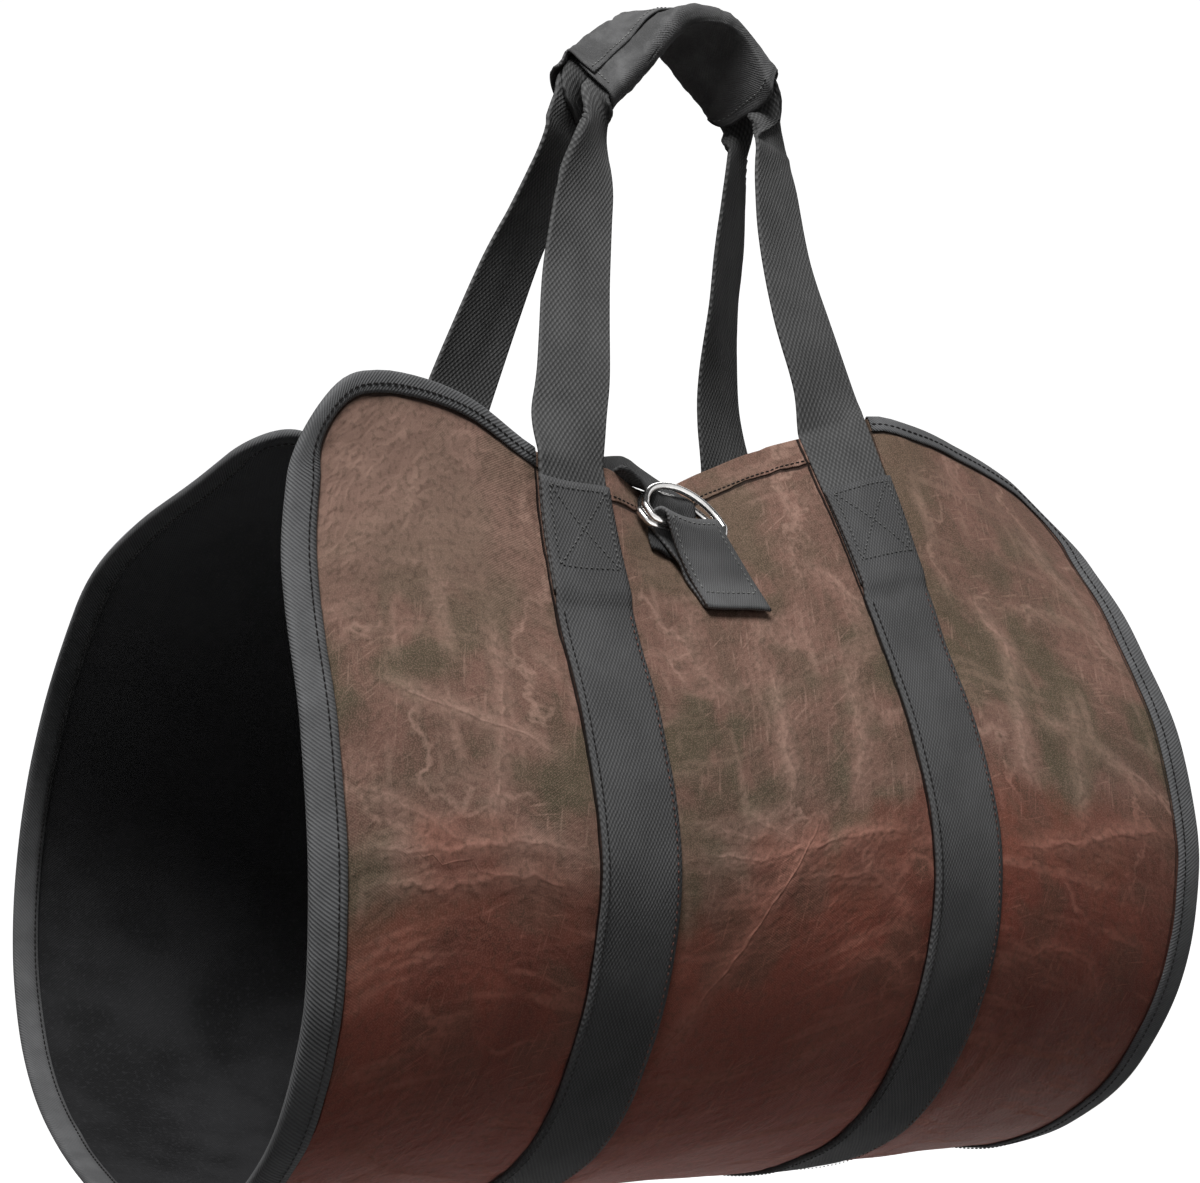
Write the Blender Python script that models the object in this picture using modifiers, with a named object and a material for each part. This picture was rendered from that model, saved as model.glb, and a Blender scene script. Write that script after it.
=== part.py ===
"""Firewood bag: one waxed canvas sheet carried as a sling that is open at both ends.

Two webbing straps run round the sheet, two webbing handles meet in a cloth grip, and a
closure strap bridges the gap at the top through two D-rings. Units are metres, +Z is up,
+X runs along the bag and -Y is its front. The origin is the underside of the grip.
"""

import math

import bmesh
import bpy
from mathutils import Vector

# Driving sizes
SHEET_WIDTH = 0.460  # along the bag
SHEET_LENGTH = 1.075  # round the body, from the front edge to the back edge
SHEET_THICKNESS = 0.002
CORNER_RADIUS = 0.032
BINDING_WIDTH = 0.012
BINDING_THICKNESS = 0.0008
STRAP_WIDTH = 0.038
STRAP_SPACING = 0.174  # between the centre lines of the two straps
WEBBING_THICKNESS = 0.0018
HANDLE_OVERLAP = 0.055  # handle webbing held under the end of a strap
GRIP_WIDTH = 0.050
GRIP_THICKNESS = 0.0016
CLOSURE_WIDTH = 0.034
TAB_WIDTH = 0.035
TAB_THICKNESS = 0.0016
RING_INSIDE_WIDTH = 0.041
RING_HEIGHT = 0.0245
RING_WIRE = 0.0035
GAP = 0.0003  # between pieces that touch

# The point of the body's own frame that becomes the origin.
HANG_POINT = (0.022, -0.070, 0.386)

# The girth of the sheet, from the front edge round the bottom to the back edge. The
# near columns are added at the near end (-X), the far columns at the far end (+X).
#            y       z       near_y  near_z  far_y   far_z
GIRTH = (
    (-0.136, 0.160, -0.010, 0.000, 0.000, 0.000),  # front edge
    (-0.152, 0.118, -0.008, 0.000, -0.002, 0.000),  # front top
    (-0.173, 0.068, -0.004, 0.000, -0.008, 0.000),  # front high
    (-0.197, 0.018, 0.000, 0.000, -0.006, 0.000),  # front middle
    (-0.209, -0.038, 0.002, 0.000, -0.002, 0.000),  # front, the fullest point
    (-0.194, -0.097, -0.007, 0.000, -0.001, 0.000),  # front low
    (-0.152, -0.152, -0.011, 0.000, 0.003, 0.000),  # front turn
    (-0.085, -0.184, -0.004, -0.004, 0.000, 0.002),  # keel, front side
    (-0.010, -0.193, 0.000, -0.002, 0.000, 0.002),  # keel
    (0.068, -0.184, 0.002, 0.001, 0.000, 0.002),  # keel, back side
    (0.136, -0.153, 0.006, 0.003, 0.000, 0.003),  # back turn
    (0.173, -0.098, 0.007, 0.000, 0.002, 0.000),  # back low
    (0.180, -0.038, 0.002, 0.000, 0.004, 0.000),  # back, the fullest point
    (0.164, 0.020, -0.006, -0.002, 0.000, 0.000),  # back middle
    (0.122, 0.072, -0.006, -0.004, -0.002, -0.002),  # back high
    (0.056, 0.116, -0.010, 0.002, -0.004, 0.000),  # back top
    (-0.022, 0.150, -0.046, 0.009, -0.030, 0.006),  # back edge
)

# The front edge dips between the straps, and its corners stand up.
#        u       y       z
EDGE = (
    (-0.230, -0.026, -0.010),
    (-0.205, -0.022, 0.001),
    (-0.180, -0.020, 0.005),
    (-0.142, -0.018, 0.000),
    (-0.106, -0.017, -0.018),
    (-0.066, -0.008, -0.021),
    (-0.030, 0.010, -0.026),
    (0.006, 0.022, -0.012),
    (0.045, 0.026, 0.004),
    (0.068, 0.026, 0.012),
    (0.106, 0.020, 0.025),
    (0.130, 0.014, 0.022),
    (0.160, 0.012, 0.014),
    (0.195, 0.012, 0.002),
    (0.230, 0.008, -0.018),
)
EDGE_SHARE = (1.0, 0.42, 0.10)  # how far the dip reaches down the first rows of GIRTH

# Both ends of the sheet lean inward near the two top edges.
LEAN_FRONT = 0.007
LEAN_BACK = 0.031
LEAN_REACH = 0.075
LEAN_REACH_BACK = 0.170

# Distances from either edge where the sheet is divided more finely.
EDGE_ROWS = (0.0, 0.005, 0.012, 0.022, 0.036, 0.050, 0.067, 0.091)
MIDDLE_ROWS = 32
SIDE_CELLS = 5
MIDDLE_CELLS = 8

# Where the end of each strap stops short of the sheet's edge.
STRAP_STARTS = {"left": 0.012, "right": 0.036}
STRAP_STARTS_BACK = {"left": 0.012, "right": 0.012}

# The legs of the handles between the sheet and the grip, from the sheet upward. The
# turn is that of the webbing's width about the vertical, in degrees, and the share is
# how much of its width is left where it is folded together to go into the grip.
#        x       y       z       turn  share
FRONT_LEFT = (
    (-0.0820, -0.1420, 0.1620, 0.0, 1.0),
    (-0.0750, -0.1340, 0.1850, 2.0, 1.0),
    (-0.0600, -0.1110, 0.2370, 6.0, 1.0),
    (-0.0470, -0.0970, 0.2840, 17.0, 0.95),
    (-0.0375, -0.0880, 0.3180, 40.0, 0.75),
)
FRONT_RIGHT = (
    (0.0865, -0.1095, 0.1960, 0.0, 1.0),
    (0.0800, -0.1020, 0.2300, 5.0, 1.0),
    (0.0790, -0.0890, 0.2710, 15.0, 0.95),
    (0.0810, -0.0810, 0.3120, 30.0, 0.85),
    (0.0825, -0.0770, 0.3340, 45.0, 0.68),
)
BACK_LEFT = (
    (-0.0855, -0.0280, 0.1700, 0.0, 1.0),
    (-0.0780, -0.0290, 0.1960, 3.0, 1.0),
    (-0.0570, -0.0400, 0.2600, 20.0, 0.95),
    (-0.0475, -0.0480, 0.2910, 29.0, 0.88),
    (-0.0415, -0.0580, 0.3240, 46.0, 0.70),
)
BACK_RIGHT = (
    (0.0850, -0.0250, 0.1690, 10.0, 1.0),
    (0.0800, -0.0240, 0.2060, 22.0, 1.0),
    (0.0760, -0.0350, 0.2540, 36.0, 0.95),
    (0.0760, -0.0420, 0.2900, 42.0, 0.85),
    (0.0780, -0.0490, 0.3280, 54.0, 0.68),
)
GRIP_SHARE = 0.53  # of the webbing's width inside the grip, where the two lie side by side

# The centre line of the grip from left to right, with the direction of its width.
#        x       y       z       width_x width_y width_z  scale
GRIP_LINE = (
    (-0.0329, -0.0760, 0.3478, -0.20, 0.69, 0.70, 0.88),
    (-0.0090, -0.0730, 0.3700, -0.05, 0.78, 0.62, 0.92),
    (0.0210, -0.0700, 0.3920, -0.05, 0.99, 0.06, 0.98),
    (0.0530, -0.0670, 0.3800, -0.12, 0.84, -0.52, 0.92),
    (0.0755, -0.0640, 0.3590, -0.17, 0.85, -0.50, 0.88),
)
GRIP_ROWS = 14
LEG_ROWS = 12

# The closure strap between the back edge and the rings.
#        x       y       z
CLOSURE_LINE = (
    (-0.0190, -0.0440, 0.1590),
    (-0.0250, -0.0720, 0.1595),
    (-0.0290, -0.0960, 0.1530),
)

MATERIALS = {
    "waxed canvas": (0.115, 0.052, 0.040, 0.0, 0.62),
    "binding tape": (0.090, 0.092, 0.096, 0.0, 0.80),
    "strap webbing": (0.055, 0.056, 0.060, 0.0, 0.85),
    "handle webbing": (0.050, 0.051, 0.055, 0.0, 0.85),
    "grip cloth": (0.075, 0.076, 0.080, 0.0, 0.88),
    "nickel": (0.640, 0.640, 0.650, 1.0, 0.22),
}


def blend(a, b, share):
    return a + (b - a) * share


def ease(x):
    x = min(1.0, max(0.0, x))
    return x * x * (3.0 - 2.0 * x)


def through(points, t):
    """A smooth value at t, in steps, through the rows of a table."""
    last = len(points) - 1
    i = min(last - 1, max(0, int(math.floor(t))))
    f = t - i
    p0 = points[max(0, i - 1)]
    p1 = points[i]
    p2 = points[i + 1]
    p3 = points[min(last, i + 2)]
    out = []
    for a, b, c, d in zip(p0, p1, p2, p3):
        slope_1 = (c - a) / 2.0
        slope_2 = (d - b) / 2.0
        cube = 2.0 * (b - c) + slope_1 + slope_2
        square = 3.0 * (c - b) - 2.0 * slope_1 - slope_2
        out.append(((cube * f + square) * f + slope_1) * f + b)
    return out


def edge_shift(u):
    """The shift of the front edge at u, in y and z."""
    w = u * 0.460 / SHEET_WIDTH
    w = min(EDGE[-1][0], max(EDGE[0][0], w))
    for i in range(len(EDGE) - 1):
        if w <= EDGE[i + 1][0]:
            break
    t = i + (w - EDGE[i][0]) / (EDGE[i + 1][0] - EDGE[i][0])
    return through([row[1:] for row in EDGE], t)


SECTIONS = {}


def section(u):
    """The sheet's cross-section at u: (length so far, y, z) from the front edge on."""
    key = round(u, 6)
    if key in SECTIONS:
        return SECTIONS[key]
    half = SHEET_WIDTH / 2.0
    strap = STRAP_SPACING / 2.0
    near = ease((-u - strap) / (half - strap))
    far = ease((u - strap) / (half - strap))
    shift = edge_shift(u)
    rows = []
    for i, (y, z, near_y, near_z, far_y, far_z) in enumerate(GIRTH):
        share = EDGE_SHARE[i] if i < len(EDGE_SHARE) else 0.0
        rows.append(
            (
                y + near * near_y + far * far_y + share * shift[0],
                z + near * near_z + far * far_z + share * shift[1],
            )
        )
    steps = 16 * (len(rows) - 1)
    found = []
    length = 0.0
    before = None
    for k in range(steps + 1):
        y, z = through(rows, k / 16.0)
        if before:
            length += math.hypot(y - before[0], z - before[1])
        before = (y, z)
        found.append((length, y, z))
    SECTIONS[key] = found
    return found


def point_on(u, v):
    """A point of the sheet's outer face, u along the bag and v from the front edge."""
    found = section(u)
    total = found[-1][0]
    s = v / SHEET_LENGTH * total
    i = 0
    j = len(found) - 1
    while j - i > 1:
        k = (i + j) // 2
        if found[k][0] <= s:
            i = k
        else:
            j = k
    a = found[i]
    b = found[i + 1]
    f = (s - a[0]) / (b[0] - a[0])
    half = SHEET_WIDTH / 2.0
    strap = (STRAP_SPACING + STRAP_WIDTH) / 2.0
    outer = max(0.0, abs(u) - strap) / (half - strap)
    front = LEAN_FRONT * (1.0 - ease(v / LEAN_REACH))
    back = LEAN_BACK * (1.0 - ease((SHEET_LENGTH - v) / LEAN_REACH_BACK))
    x = u - math.copysign(outer * (front + back), u)
    return Vector((x, blend(a[1], b[1], f), blend(a[2], b[2], f)))


def place(u, v, off=0.0):
    """The sheet's point at u, v, moved off its outer face."""
    d = 0.002
    along = point_on(u + d, v) - point_on(u - d, v)
    down = point_on(u, v + d) - point_on(u, v - d)
    out = down.cross(along).normalized()
    return point_on(u, v) + out * off - Vector(HANG_POINT)


def free(x, y, z):
    return Vector((x, y, z)) - Vector(HANG_POINT)


def material(name):
    found = bpy.data.materials.get(name)
    if found:
        return found
    r, g, b, metallic, roughness = MATERIALS[name]
    made = bpy.data.materials.new(name)
    made.use_nodes = True
    shader = made.node_tree.nodes["Principled BSDF"]
    shader.inputs["Base Color"].default_value = (r, g, b, 1.0)
    shader.inputs["Metallic"].default_value = metallic
    shader.inputs["Roughness"].default_value = roughness
    return made


def cloth(name, rows, thickness, stuff, collection):
    """An open surface through rows of points, made as thick as the cloth."""
    across = len(rows[0]) - 1
    along = len(rows) - 1
    mesh = bpy.data.meshes.new(name)
    bm = bmesh.new()
    bmesh.ops.create_grid(bm, x_segments=across, y_segments=along, size=1.0)
    for vertex in bm.verts:
        i = round((vertex.co.y + 1.0) / 2.0 * along)
        j = round((vertex.co.x + 1.0) / 2.0 * across)
        vertex.co = rows[i][j]
    bmesh.ops.triangulate(bm, faces=bm.faces, quad_method="SHORT_EDGE")
    bmesh.ops.recalc_face_normals(bm, faces=bm.faces)
    bm.to_mesh(mesh)
    bm.free()
    obj = bpy.data.objects.new(name, mesh)
    collection.objects.link(obj)
    mesh.materials.append(material(stuff))
    solid = obj.modifiers.new("thickness", "SOLIDIFY")
    solid.thickness = thickness
    solid.offset = 0.0
    solid.use_even_offset = True
    return obj


def row_distances():
    """Where the sheet's rows lie, from the front edge to the back edge."""
    last = EDGE_ROWS[-1]
    rest = SHEET_LENGTH - 2.0 * last
    middle = [last + rest * k / MIDDLE_ROWS for k in range(1, MIDDLE_ROWS)]
    return list(EDGE_ROWS) + middle + [SHEET_LENGTH - v for v in reversed(EDGE_ROWS)]


def half_width_at(v):
    """Half the sheet's width at v, with its rounded corners."""
    inside = min(v, SHEET_LENGTH - v)
    if inside >= CORNER_RADIUS:
        return SHEET_WIDTH / 2.0
    reach = CORNER_RADIUS - max(0.0, inside)
    return SHEET_WIDTH / 2.0 - CORNER_RADIUS + math.sqrt(CORNER_RADIUS**2 - reach**2)


def strap_columns(side):
    middle = STRAP_SPACING / 2.0 * (-1.0 if side == "left" else 1.0)
    return [middle + STRAP_WIDTH * (k / 2.0 - 0.5) for k in range(3)]


def side_columns(v, start):
    """Columns beside a strap, from start out to the sheet's edge at v."""
    edge = half_width_at(v)
    last = edge - BINDING_WIDTH
    return [blend(start, last, k / (SIDE_CELLS - 1)) for k in range(SIDE_CELLS)] + [edge]


def columns_at(v):
    left = strap_columns("left")
    right = strap_columns("right")
    out = [-u for u in reversed(side_columns(v, -left[0])[1:])]
    out += left
    for k in range(1, MIDDLE_CELLS):
        out.append(blend(left[-1], right[0], k / MIDDLE_CELLS))
    out += right
    out += side_columns(v, right[-1])[1:]
    return out


def make_sheet(collection):
    middle = -SHEET_THICKNESS / 2.0
    rows = [[place(u, v, middle) for u in columns_at(v)] for v in row_distances()]
    cloth("canvas_sheet", rows, SHEET_THICKNESS, "waxed canvas", collection)


def make_binding(side, collection):
    """Tape folded over the sheet's edge, from one strap round to the other."""
    sign = -1.0 if side == "left" else 1.0
    distances = row_distances()
    start = (STRAP_SPACING + STRAP_WIDTH) / 2.0 + 0.001
    ends = side_columns(0.0, start)[:-1]
    path = [(sign * u, 0.0) for u in ends]
    path += [(sign * half_width_at(v), v) for v in distances]
    path += [(sign * u, SHEET_LENGTH) for u in reversed(ends)]
    t = BINDING_THICKNESS
    gap = GAP + 0.0006
    outer = gap + t / 2.0
    inner = -SHEET_THICKNESS - gap - t / 2.0
    profile = (
        (BINDING_WIDTH, outer),
        (0.004, outer),
        (0.0, outer),
        (-gap - t / 2.0, -SHEET_THICKNESS / 2.0),
        (0.0, inner),
        (BINDING_WIDTH - 0.002, inner),
    )
    rows = []
    for i, (u, v) in enumerate(path):
        before = path[max(0, i - 1)]
        after = path[min(len(path) - 1, i + 1)]
        along_u = after[0] - before[0]
        along_v = after[1] - before[1]
        size = math.hypot(along_u, along_v)
        in_u = -sign * along_v / size
        in_v = sign * along_u / size
        row = []
        for inward, off in profile:
            row.append(place(u + in_u * inward, v + in_v * inward, off))
        rows.append(row)
    cloth(f"binding_{side}", rows, t, "binding tape", collection)


def make_strap(side, collection):
    """Webbing round the outside of the sheet, over the ends of both handles."""
    t = WEBBING_THICKNESS
    low = GAP + t / 2.0
    high = 2.0 * GAP + 1.5 * t
    front = STRAP_STARTS[side]
    back = STRAP_STARTS_BACK[side]
    rows = []
    for v in row_distances():
        end = SHEET_LENGTH - v
        if v < front - 1e-6 or end < back - 1e-6:
            continue
        raised = v < front + HANDLE_OVERLAP + 0.002 or end < back + HANDLE_OVERLAP + 0.002
        off = high if raised else low
        rows.append([place(u, v, off) for u in strap_columns(side)])
    cloth(f"strap_{side}", rows, t, "strap webbing", collection)


def grip_frame(t):
    """Centre, direction, width direction, outward direction and scale at t, 0 to 1."""
    steps = (len(GRIP_LINE) - 1) * t
    here = through(GRIP_LINE, steps)
    after = through(GRIP_LINE, steps + 0.01)
    before = through(GRIP_LINE, steps - 0.01)
    along = (Vector(after[:3]) - Vector(before[:3])).normalized()
    width = Vector(here[3:6])
    width.normalize()
    return free(*here[:3]), along, width, along.cross(width).normalized(), here[6]


def leg_row(station, half):
    x, y, z, turn, share = station
    angle = math.radians(turn)
    width = Vector((math.cos(angle), math.sin(angle), 0.0))
    return [free(x, y, z) + width * half * share * b for b in (-1.0, 0.0, 1.0)]


def smooth_rows(rows, count):
    """Rows through all but the first and last given ones, each column on its own curve."""
    out = []
    for k in range(count + 1):
        t = 1.0 + (len(rows) - 3) * k / count
        row = []
        for j in range(len(rows[0])):
            row.append(Vector(through([r[j] for r in rows], t)))
        out.append(row)
    return out


def make_handle(where, left_leg, right_leg, collection):
    """One length of webbing: up from the left strap, through the grip, down the right."""
    t = WEBBING_THICKNESS
    half = STRAP_WIDTH / 2.0
    low = GAP + t / 2.0
    starts = STRAP_STARTS if where == "front" else STRAP_STARTS_BACK
    sewn = {}
    for side in ("left", "right"):
        reach = starts[side] + HANDLE_OVERLAP
        held = []
        for v in row_distances():
            if v > reach + 1e-6:
                break
            v = v if where == "front" else SHEET_LENGTH - v
            held.append([place(u, v, low) for u in strap_columns(side)])
        sewn[side] = list(reversed(held))
    sign = -1.0 if where == "front" else 1.0
    narrow = half * GRIP_SHARE
    beside = sign * (narrow + GAP)
    grip = []
    for k in range(GRIP_ROWS + 1):
        centre, _, width, _, _ = grip_frame(k / GRIP_ROWS)
        grip.append([centre + width * (beside + narrow * b) for b in (-1.0, 0.0, 1.0)])
    left = smooth_rows(
        [sewn["left"][-2], sewn["left"][-1]]
        + [leg_row(s, half) for s in left_leg]
        + [grip[0], grip[1]],
        LEG_ROWS + 4,
    )
    right = smooth_rows(
        [grip[-2], grip[-1]]
        + [leg_row(s, half) for s in reversed(right_leg)]
        + [sewn["right"][-1], sewn["right"][-2]],
        LEG_ROWS + 4,
    )
    rows = sewn["left"][:-1] + left + grip[1:-1] + right
    rows += list(reversed(sewn["right"][:-1]))
    cloth(f"handle_{where}", rows, t, "handle webbing", collection)


def make_grip(collection):
    """Cloth wrapped once round both handles, its free edge lapped over the start."""
    t = GRIP_THICKNESS
    inside = GAP + WEBBING_THICKNESS + 0.0010
    level = inside + t / 2.0
    lap = level + t + 0.0004
    rows = []
    for k in range(GRIP_ROWS + 1):
        centre, _, width, out, scale = grip_frame(k / GRIP_ROWS)
        edge = GRIP_WIDTH / 2.0 * scale
        profile = (
            (0.05 * GRIP_WIDTH, level),
            (-0.25 * GRIP_WIDTH, level),
            (0.004 - edge, level),
            (0.001 - edge, level * 0.7),
            (-edge, 0.0),
            (0.001 - edge, -level * 0.7),
            (0.004 - edge, -level),
            (0.0, -level),
            (edge - 0.0045, -level),
            (edge - 0.001, -level * 0.65),
            (edge + 0.0006, 0.001),
            (edge - 0.001, level + 0.0005),
            (edge - 0.005, lap),
            (0.05 * GRIP_WIDTH, lap),
            (-0.28 * GRIP_WIDTH, lap),
        )
        rows.append([centre + width * b + out * c for b, c in profile])
    cloth("grip_wrap", rows, t, "grip cloth", collection)


# The ring tab in its own plane: v down the sheet, the height above it, the middle of
# the tab and how much its rows are turned to lie level on the sloping sheet.
#        v       off     u        slope
TAB_LINE = (
    (0.0851, 0.0013, -0.0081, 0.42),
    (0.0768, 0.0013, -0.0108, 0.44),
    (0.0693, 0.0014, -0.0133, 0.46),
    (0.0637, 0.0022, -0.0147, 0.48),
    (0.0581, 0.0040, -0.0161, 0.50),
    (0.0498, 0.0043, -0.0188, 0.50),
    (0.0404, 0.0043, -0.0214, 0.50),
    (0.0353, 0.0046, -0.0228, 0.50),
    (0.0328, 0.0060, -0.0230, 0.50),
    (0.0322, 0.0092, -0.0230, 0.50),
    (0.0331, 0.0126, -0.0230, 0.50),
    (0.0358, 0.0150, -0.0228, 0.50),
    (0.0391, 0.0152, -0.0221, 0.50),
    (0.0428, 0.0132, -0.0213, 0.50),
    (0.0507, 0.0092, -0.0187, 0.50),
    (0.0591, 0.0066, -0.0161, 0.50),
    (0.0665, 0.0044, -0.0140, 0.47),
    (0.0740, 0.0033, -0.0115, 0.45),
    (0.0870, 0.0032, -0.0080, 0.42),
)
RING_BARS = ((0.0372, 0.0082), (0.0377, 0.0122))  # v and height of each straight bar
RING_ENDS = (0.0052, 0.0122)  # height of the top of each bow above the sheet
RING_MIDDLE = -0.0235
RING_STEPS = 22


def make_tab(collection):
    """A folded tab that holds the straight bars of both rings."""
    rows = []
    for v, off, u, slope in TAB_LINE:
        row = []
        for b in (-1.0, -0.34, 0.34, 1.0):
            d = b * TAB_WIDTH / 2.0
            row.append(place(u + d, v + slope * d, off))
        rows.append(row)
    cloth("ring_tab", rows, TAB_THICKNESS, "strap webbing", collection)


def ring_frame(index):
    """Middle of a ring's bar, the direction of the bar and the direction of the bow."""
    v, off = RING_BARS[index]
    u = RING_MIDDLE
    d = 0.016
    bar = place(u + d, v + 0.50 * d, off) - place(u - d, v - 0.50 * d, off)
    bar.normalize()
    centre = place(u, v, off)
    bow = place(u, v - RING_HEIGHT, RING_ENDS[index]) - centre
    bow = (bow - bar * bow.dot(bar)).normalized()
    return centre, bar, bow


def make_ring(index, collection):
    centre, bar, bow = ring_frame(index)
    half = (RING_INSIDE_WIDTH + RING_WIRE) / 2.0
    round_off = 0.0035
    outline = [(-half + round_off, 0.0), (0.0, 0.0), (half - round_off, 0.0)]
    for k in range(RING_STEPS + 1):
        angle = math.pi * k / RING_STEPS
        rise = math.sin(angle)
        foot = 0.0035 if k not in (0, RING_STEPS) else 0.0022
        outline.append((half * math.cos(angle), foot + (RING_HEIGHT - 0.0035) * rise))
    data = bpy.data.curves.new(f"d_ring_{index + 1}", "CURVE")
    data.dimensions = "3D"
    data.bevel_depth = RING_WIRE / 2.0
    data.bevel_resolution = 1
    data.use_fill_caps = True
    line = data.splines.new("POLY")
    line.points.add(len(outline) - 1)
    for target, (a, b) in zip(line.points, outline):
        target.co = (*(centre + bar * a + bow * b), 1.0)
    line.use_cyclic_u = True
    data.materials.append(material("nickel"))
    obj = bpy.data.objects.new(f"d_ring_{index + 1}", data)
    collection.objects.link(obj)


# The closure strap on the front: v, height above the sheet, middle, slope and width. It
# goes over the bow of the lower ring, under that of the upper ring, and ends behind the
# tab; inside the rings it is gathered.
CLOSURE_FRONT = (
    (0.0020, 0.0105, -0.0300, 0.50, 0.034),
    (0.0110, 0.0087, -0.0260, 0.50, 0.032),
    (0.0180, 0.0080, -0.0240, 0.50, 0.029),
    (0.0235, 0.0054, -0.0235, 0.50, 0.028),
    (0.0290, 0.0030, -0.0235, 0.50, 0.028),
    (0.0340, 0.0023, -0.0245, 0.50, 0.028),
    (0.0430, 0.0022, -0.0270, 0.50, 0.029),
    (0.0510, 0.0022, -0.0290, 0.48, 0.029),
)
CLOSURE_BACK = 0.055  # the length sewn to the back panel


def make_closure(collection):
    t = TAB_THICKNESS
    half = CLOSURE_WIDTH / 2.0
    marks = (-1.0, -0.34, 0.34, 1.0)
    rows = []
    count = 5
    for k in range(count):
        v = SHEET_LENGTH - CLOSURE_BACK * (1.0 - k / (count - 1))
        rows.append([place(-0.010 + half * b, v, GAP + t / 2.0) for b in marks])
    over = [rows[-2], rows[-1]]
    for x, y, z in CLOSURE_LINE:
        over.append([free(x + half * b, y, z) for b in marks])
    front = []
    for v, off, u, slope, width in CLOSURE_FRONT:
        d = width / 2.0
        front.append([place(u + d * b, v + slope * d * b, off) for b in marks])
    over += front[:3]
    last = [2.0 * a - b for a, b in zip(front[-1], front[-2])]
    rows = rows[:-1] + smooth_rows(over, 14) + smooth_rows(front + [last], 16)[1:]
    cloth("closure_strap", rows, t, "strap webbing", collection)


def main():
    for obj in list(bpy.data.objects):
        bpy.data.objects.remove(obj, do_unlink=True)
    collection = bpy.data.collections.new("firewood_bag")
    bpy.context.scene.collection.children.link(collection)
    make_sheet(collection)
    for side in ("left", "right"):
        make_binding(side, collection)
        make_strap(side, collection)
    make_handle("front", FRONT_LEFT, FRONT_RIGHT, collection)
    make_handle("back", BACK_LEFT, BACK_RIGHT, collection)
    make_grip(collection)
    make_closure(collection)
    make_tab(collection)
    make_ring(0, collection)
    make_ring(1, collection)


main()
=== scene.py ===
"""Firewood bag: a waxed canvas sling with webbing straps, two handles in a cloth grip, and
a closure strap through two D-rings. Metres, +Z up; the origin is the underside of the grip.
"""

import math

import bpy
import numpy as np
from bpy.props import FloatProperty, FloatVectorProperty, PointerProperty
from mathutils import Matrix, Vector, noise


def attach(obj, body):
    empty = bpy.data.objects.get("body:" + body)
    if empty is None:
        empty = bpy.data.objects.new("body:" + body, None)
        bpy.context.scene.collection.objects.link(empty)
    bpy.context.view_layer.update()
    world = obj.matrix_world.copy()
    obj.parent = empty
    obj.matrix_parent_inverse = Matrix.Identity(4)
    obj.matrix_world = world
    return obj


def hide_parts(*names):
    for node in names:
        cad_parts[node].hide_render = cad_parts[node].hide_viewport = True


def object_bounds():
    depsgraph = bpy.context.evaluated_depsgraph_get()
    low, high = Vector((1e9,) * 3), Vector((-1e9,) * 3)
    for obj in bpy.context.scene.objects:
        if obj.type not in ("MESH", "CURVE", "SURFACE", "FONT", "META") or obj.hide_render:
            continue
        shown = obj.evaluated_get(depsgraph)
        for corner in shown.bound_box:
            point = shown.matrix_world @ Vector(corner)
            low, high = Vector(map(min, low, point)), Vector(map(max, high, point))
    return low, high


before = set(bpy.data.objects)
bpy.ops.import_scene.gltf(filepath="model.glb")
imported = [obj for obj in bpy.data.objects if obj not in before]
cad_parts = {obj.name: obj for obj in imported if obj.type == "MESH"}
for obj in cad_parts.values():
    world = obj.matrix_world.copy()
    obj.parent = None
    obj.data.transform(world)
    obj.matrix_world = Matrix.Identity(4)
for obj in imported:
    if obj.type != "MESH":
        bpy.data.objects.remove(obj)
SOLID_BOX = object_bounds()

bl_info = {
    "name": "Firewood bag",
    "version": (1, 0, 0),
    "blender": (4, 5, 0),
    "location": "3D View > Sidebar > Firewood Bag",
    "description": "A waxed canvas firewood sling with webbing handles",
    "category": "Add Mesh",
}

# Units of the tables: a millimetre, a tenth of one, and a hundredth for shares.
MM = 0.001
TENTH = 0.0001
CENT = 0.01


def table(units, *rows):
    """Rows of whole numbers, each column times its unit."""
    return tuple(tuple(x * unit for x, unit in zip(row, units)) for row in rows)


# The point of the bag's own frame that is the origin here.
HANG_POINT = Vector((0.022, -0.070, 0.386))

# The girth of the sheet, from the front edge round the bottom to the back edge. The near
# columns are added at the near end (-X), the far columns at the far end (+X).
#    y     z   near_y near_z far_y far_z
GIRTH = table(
    (MM,) * 6,
    (-136, 160, -10, 0, 0, 0),
    (-152, 118, -8, 0, -2, 0),
    (-173, 68, -4, 0, -8, 0),
    (-197, 18, 0, 0, -6, 0),
    (-209, -38, 2, 0, -2, 0),
    (-194, -97, -7, 0, -1, 0),
    (-152, -152, -11, 0, 3, 0),
    (-85, -184, -4, -4, 0, 2),
    (-10, -193, 0, -2, 0, 2),
    (68, -184, 2, 1, 0, 2),
    (136, -153, 6, 3, 0, 3),
    (173, -98, 7, 0, 2, 0),
    (180, -38, 2, 0, 4, 0),
    (164, 20, -6, -2, 0, 0),
    (122, 72, -6, -4, -2, -2),
    (56, 116, -10, 2, -4, 0),
    (-22, 150, -46, 9, -30, 6),
)

# The front edge dips between the straps, and its corners stand up.
#    u     y    z
EDGE = table(
    (MM,) * 3,
    (-230, -26, -10),
    (-205, -22, 1),
    (-180, -20, 5),
    (-142, -18, 0),
    (-106, -17, -18),
    (-66, -8, -21),
    (-30, 10, -26),
    (6, 22, -12),
    (45, 26, 4),
    (68, 26, 12),
    (106, 20, 25),
    (130, 14, 22),
    (160, 12, 14),
    (195, 12, 2),
    (230, 8, -18),
)
EDGE_SHARE = (1.0, 0.42, 0.10)
LEAN_FRONT = (0.007, 0.075)
LEAN_BACK = (0.031, 0.170)

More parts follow.
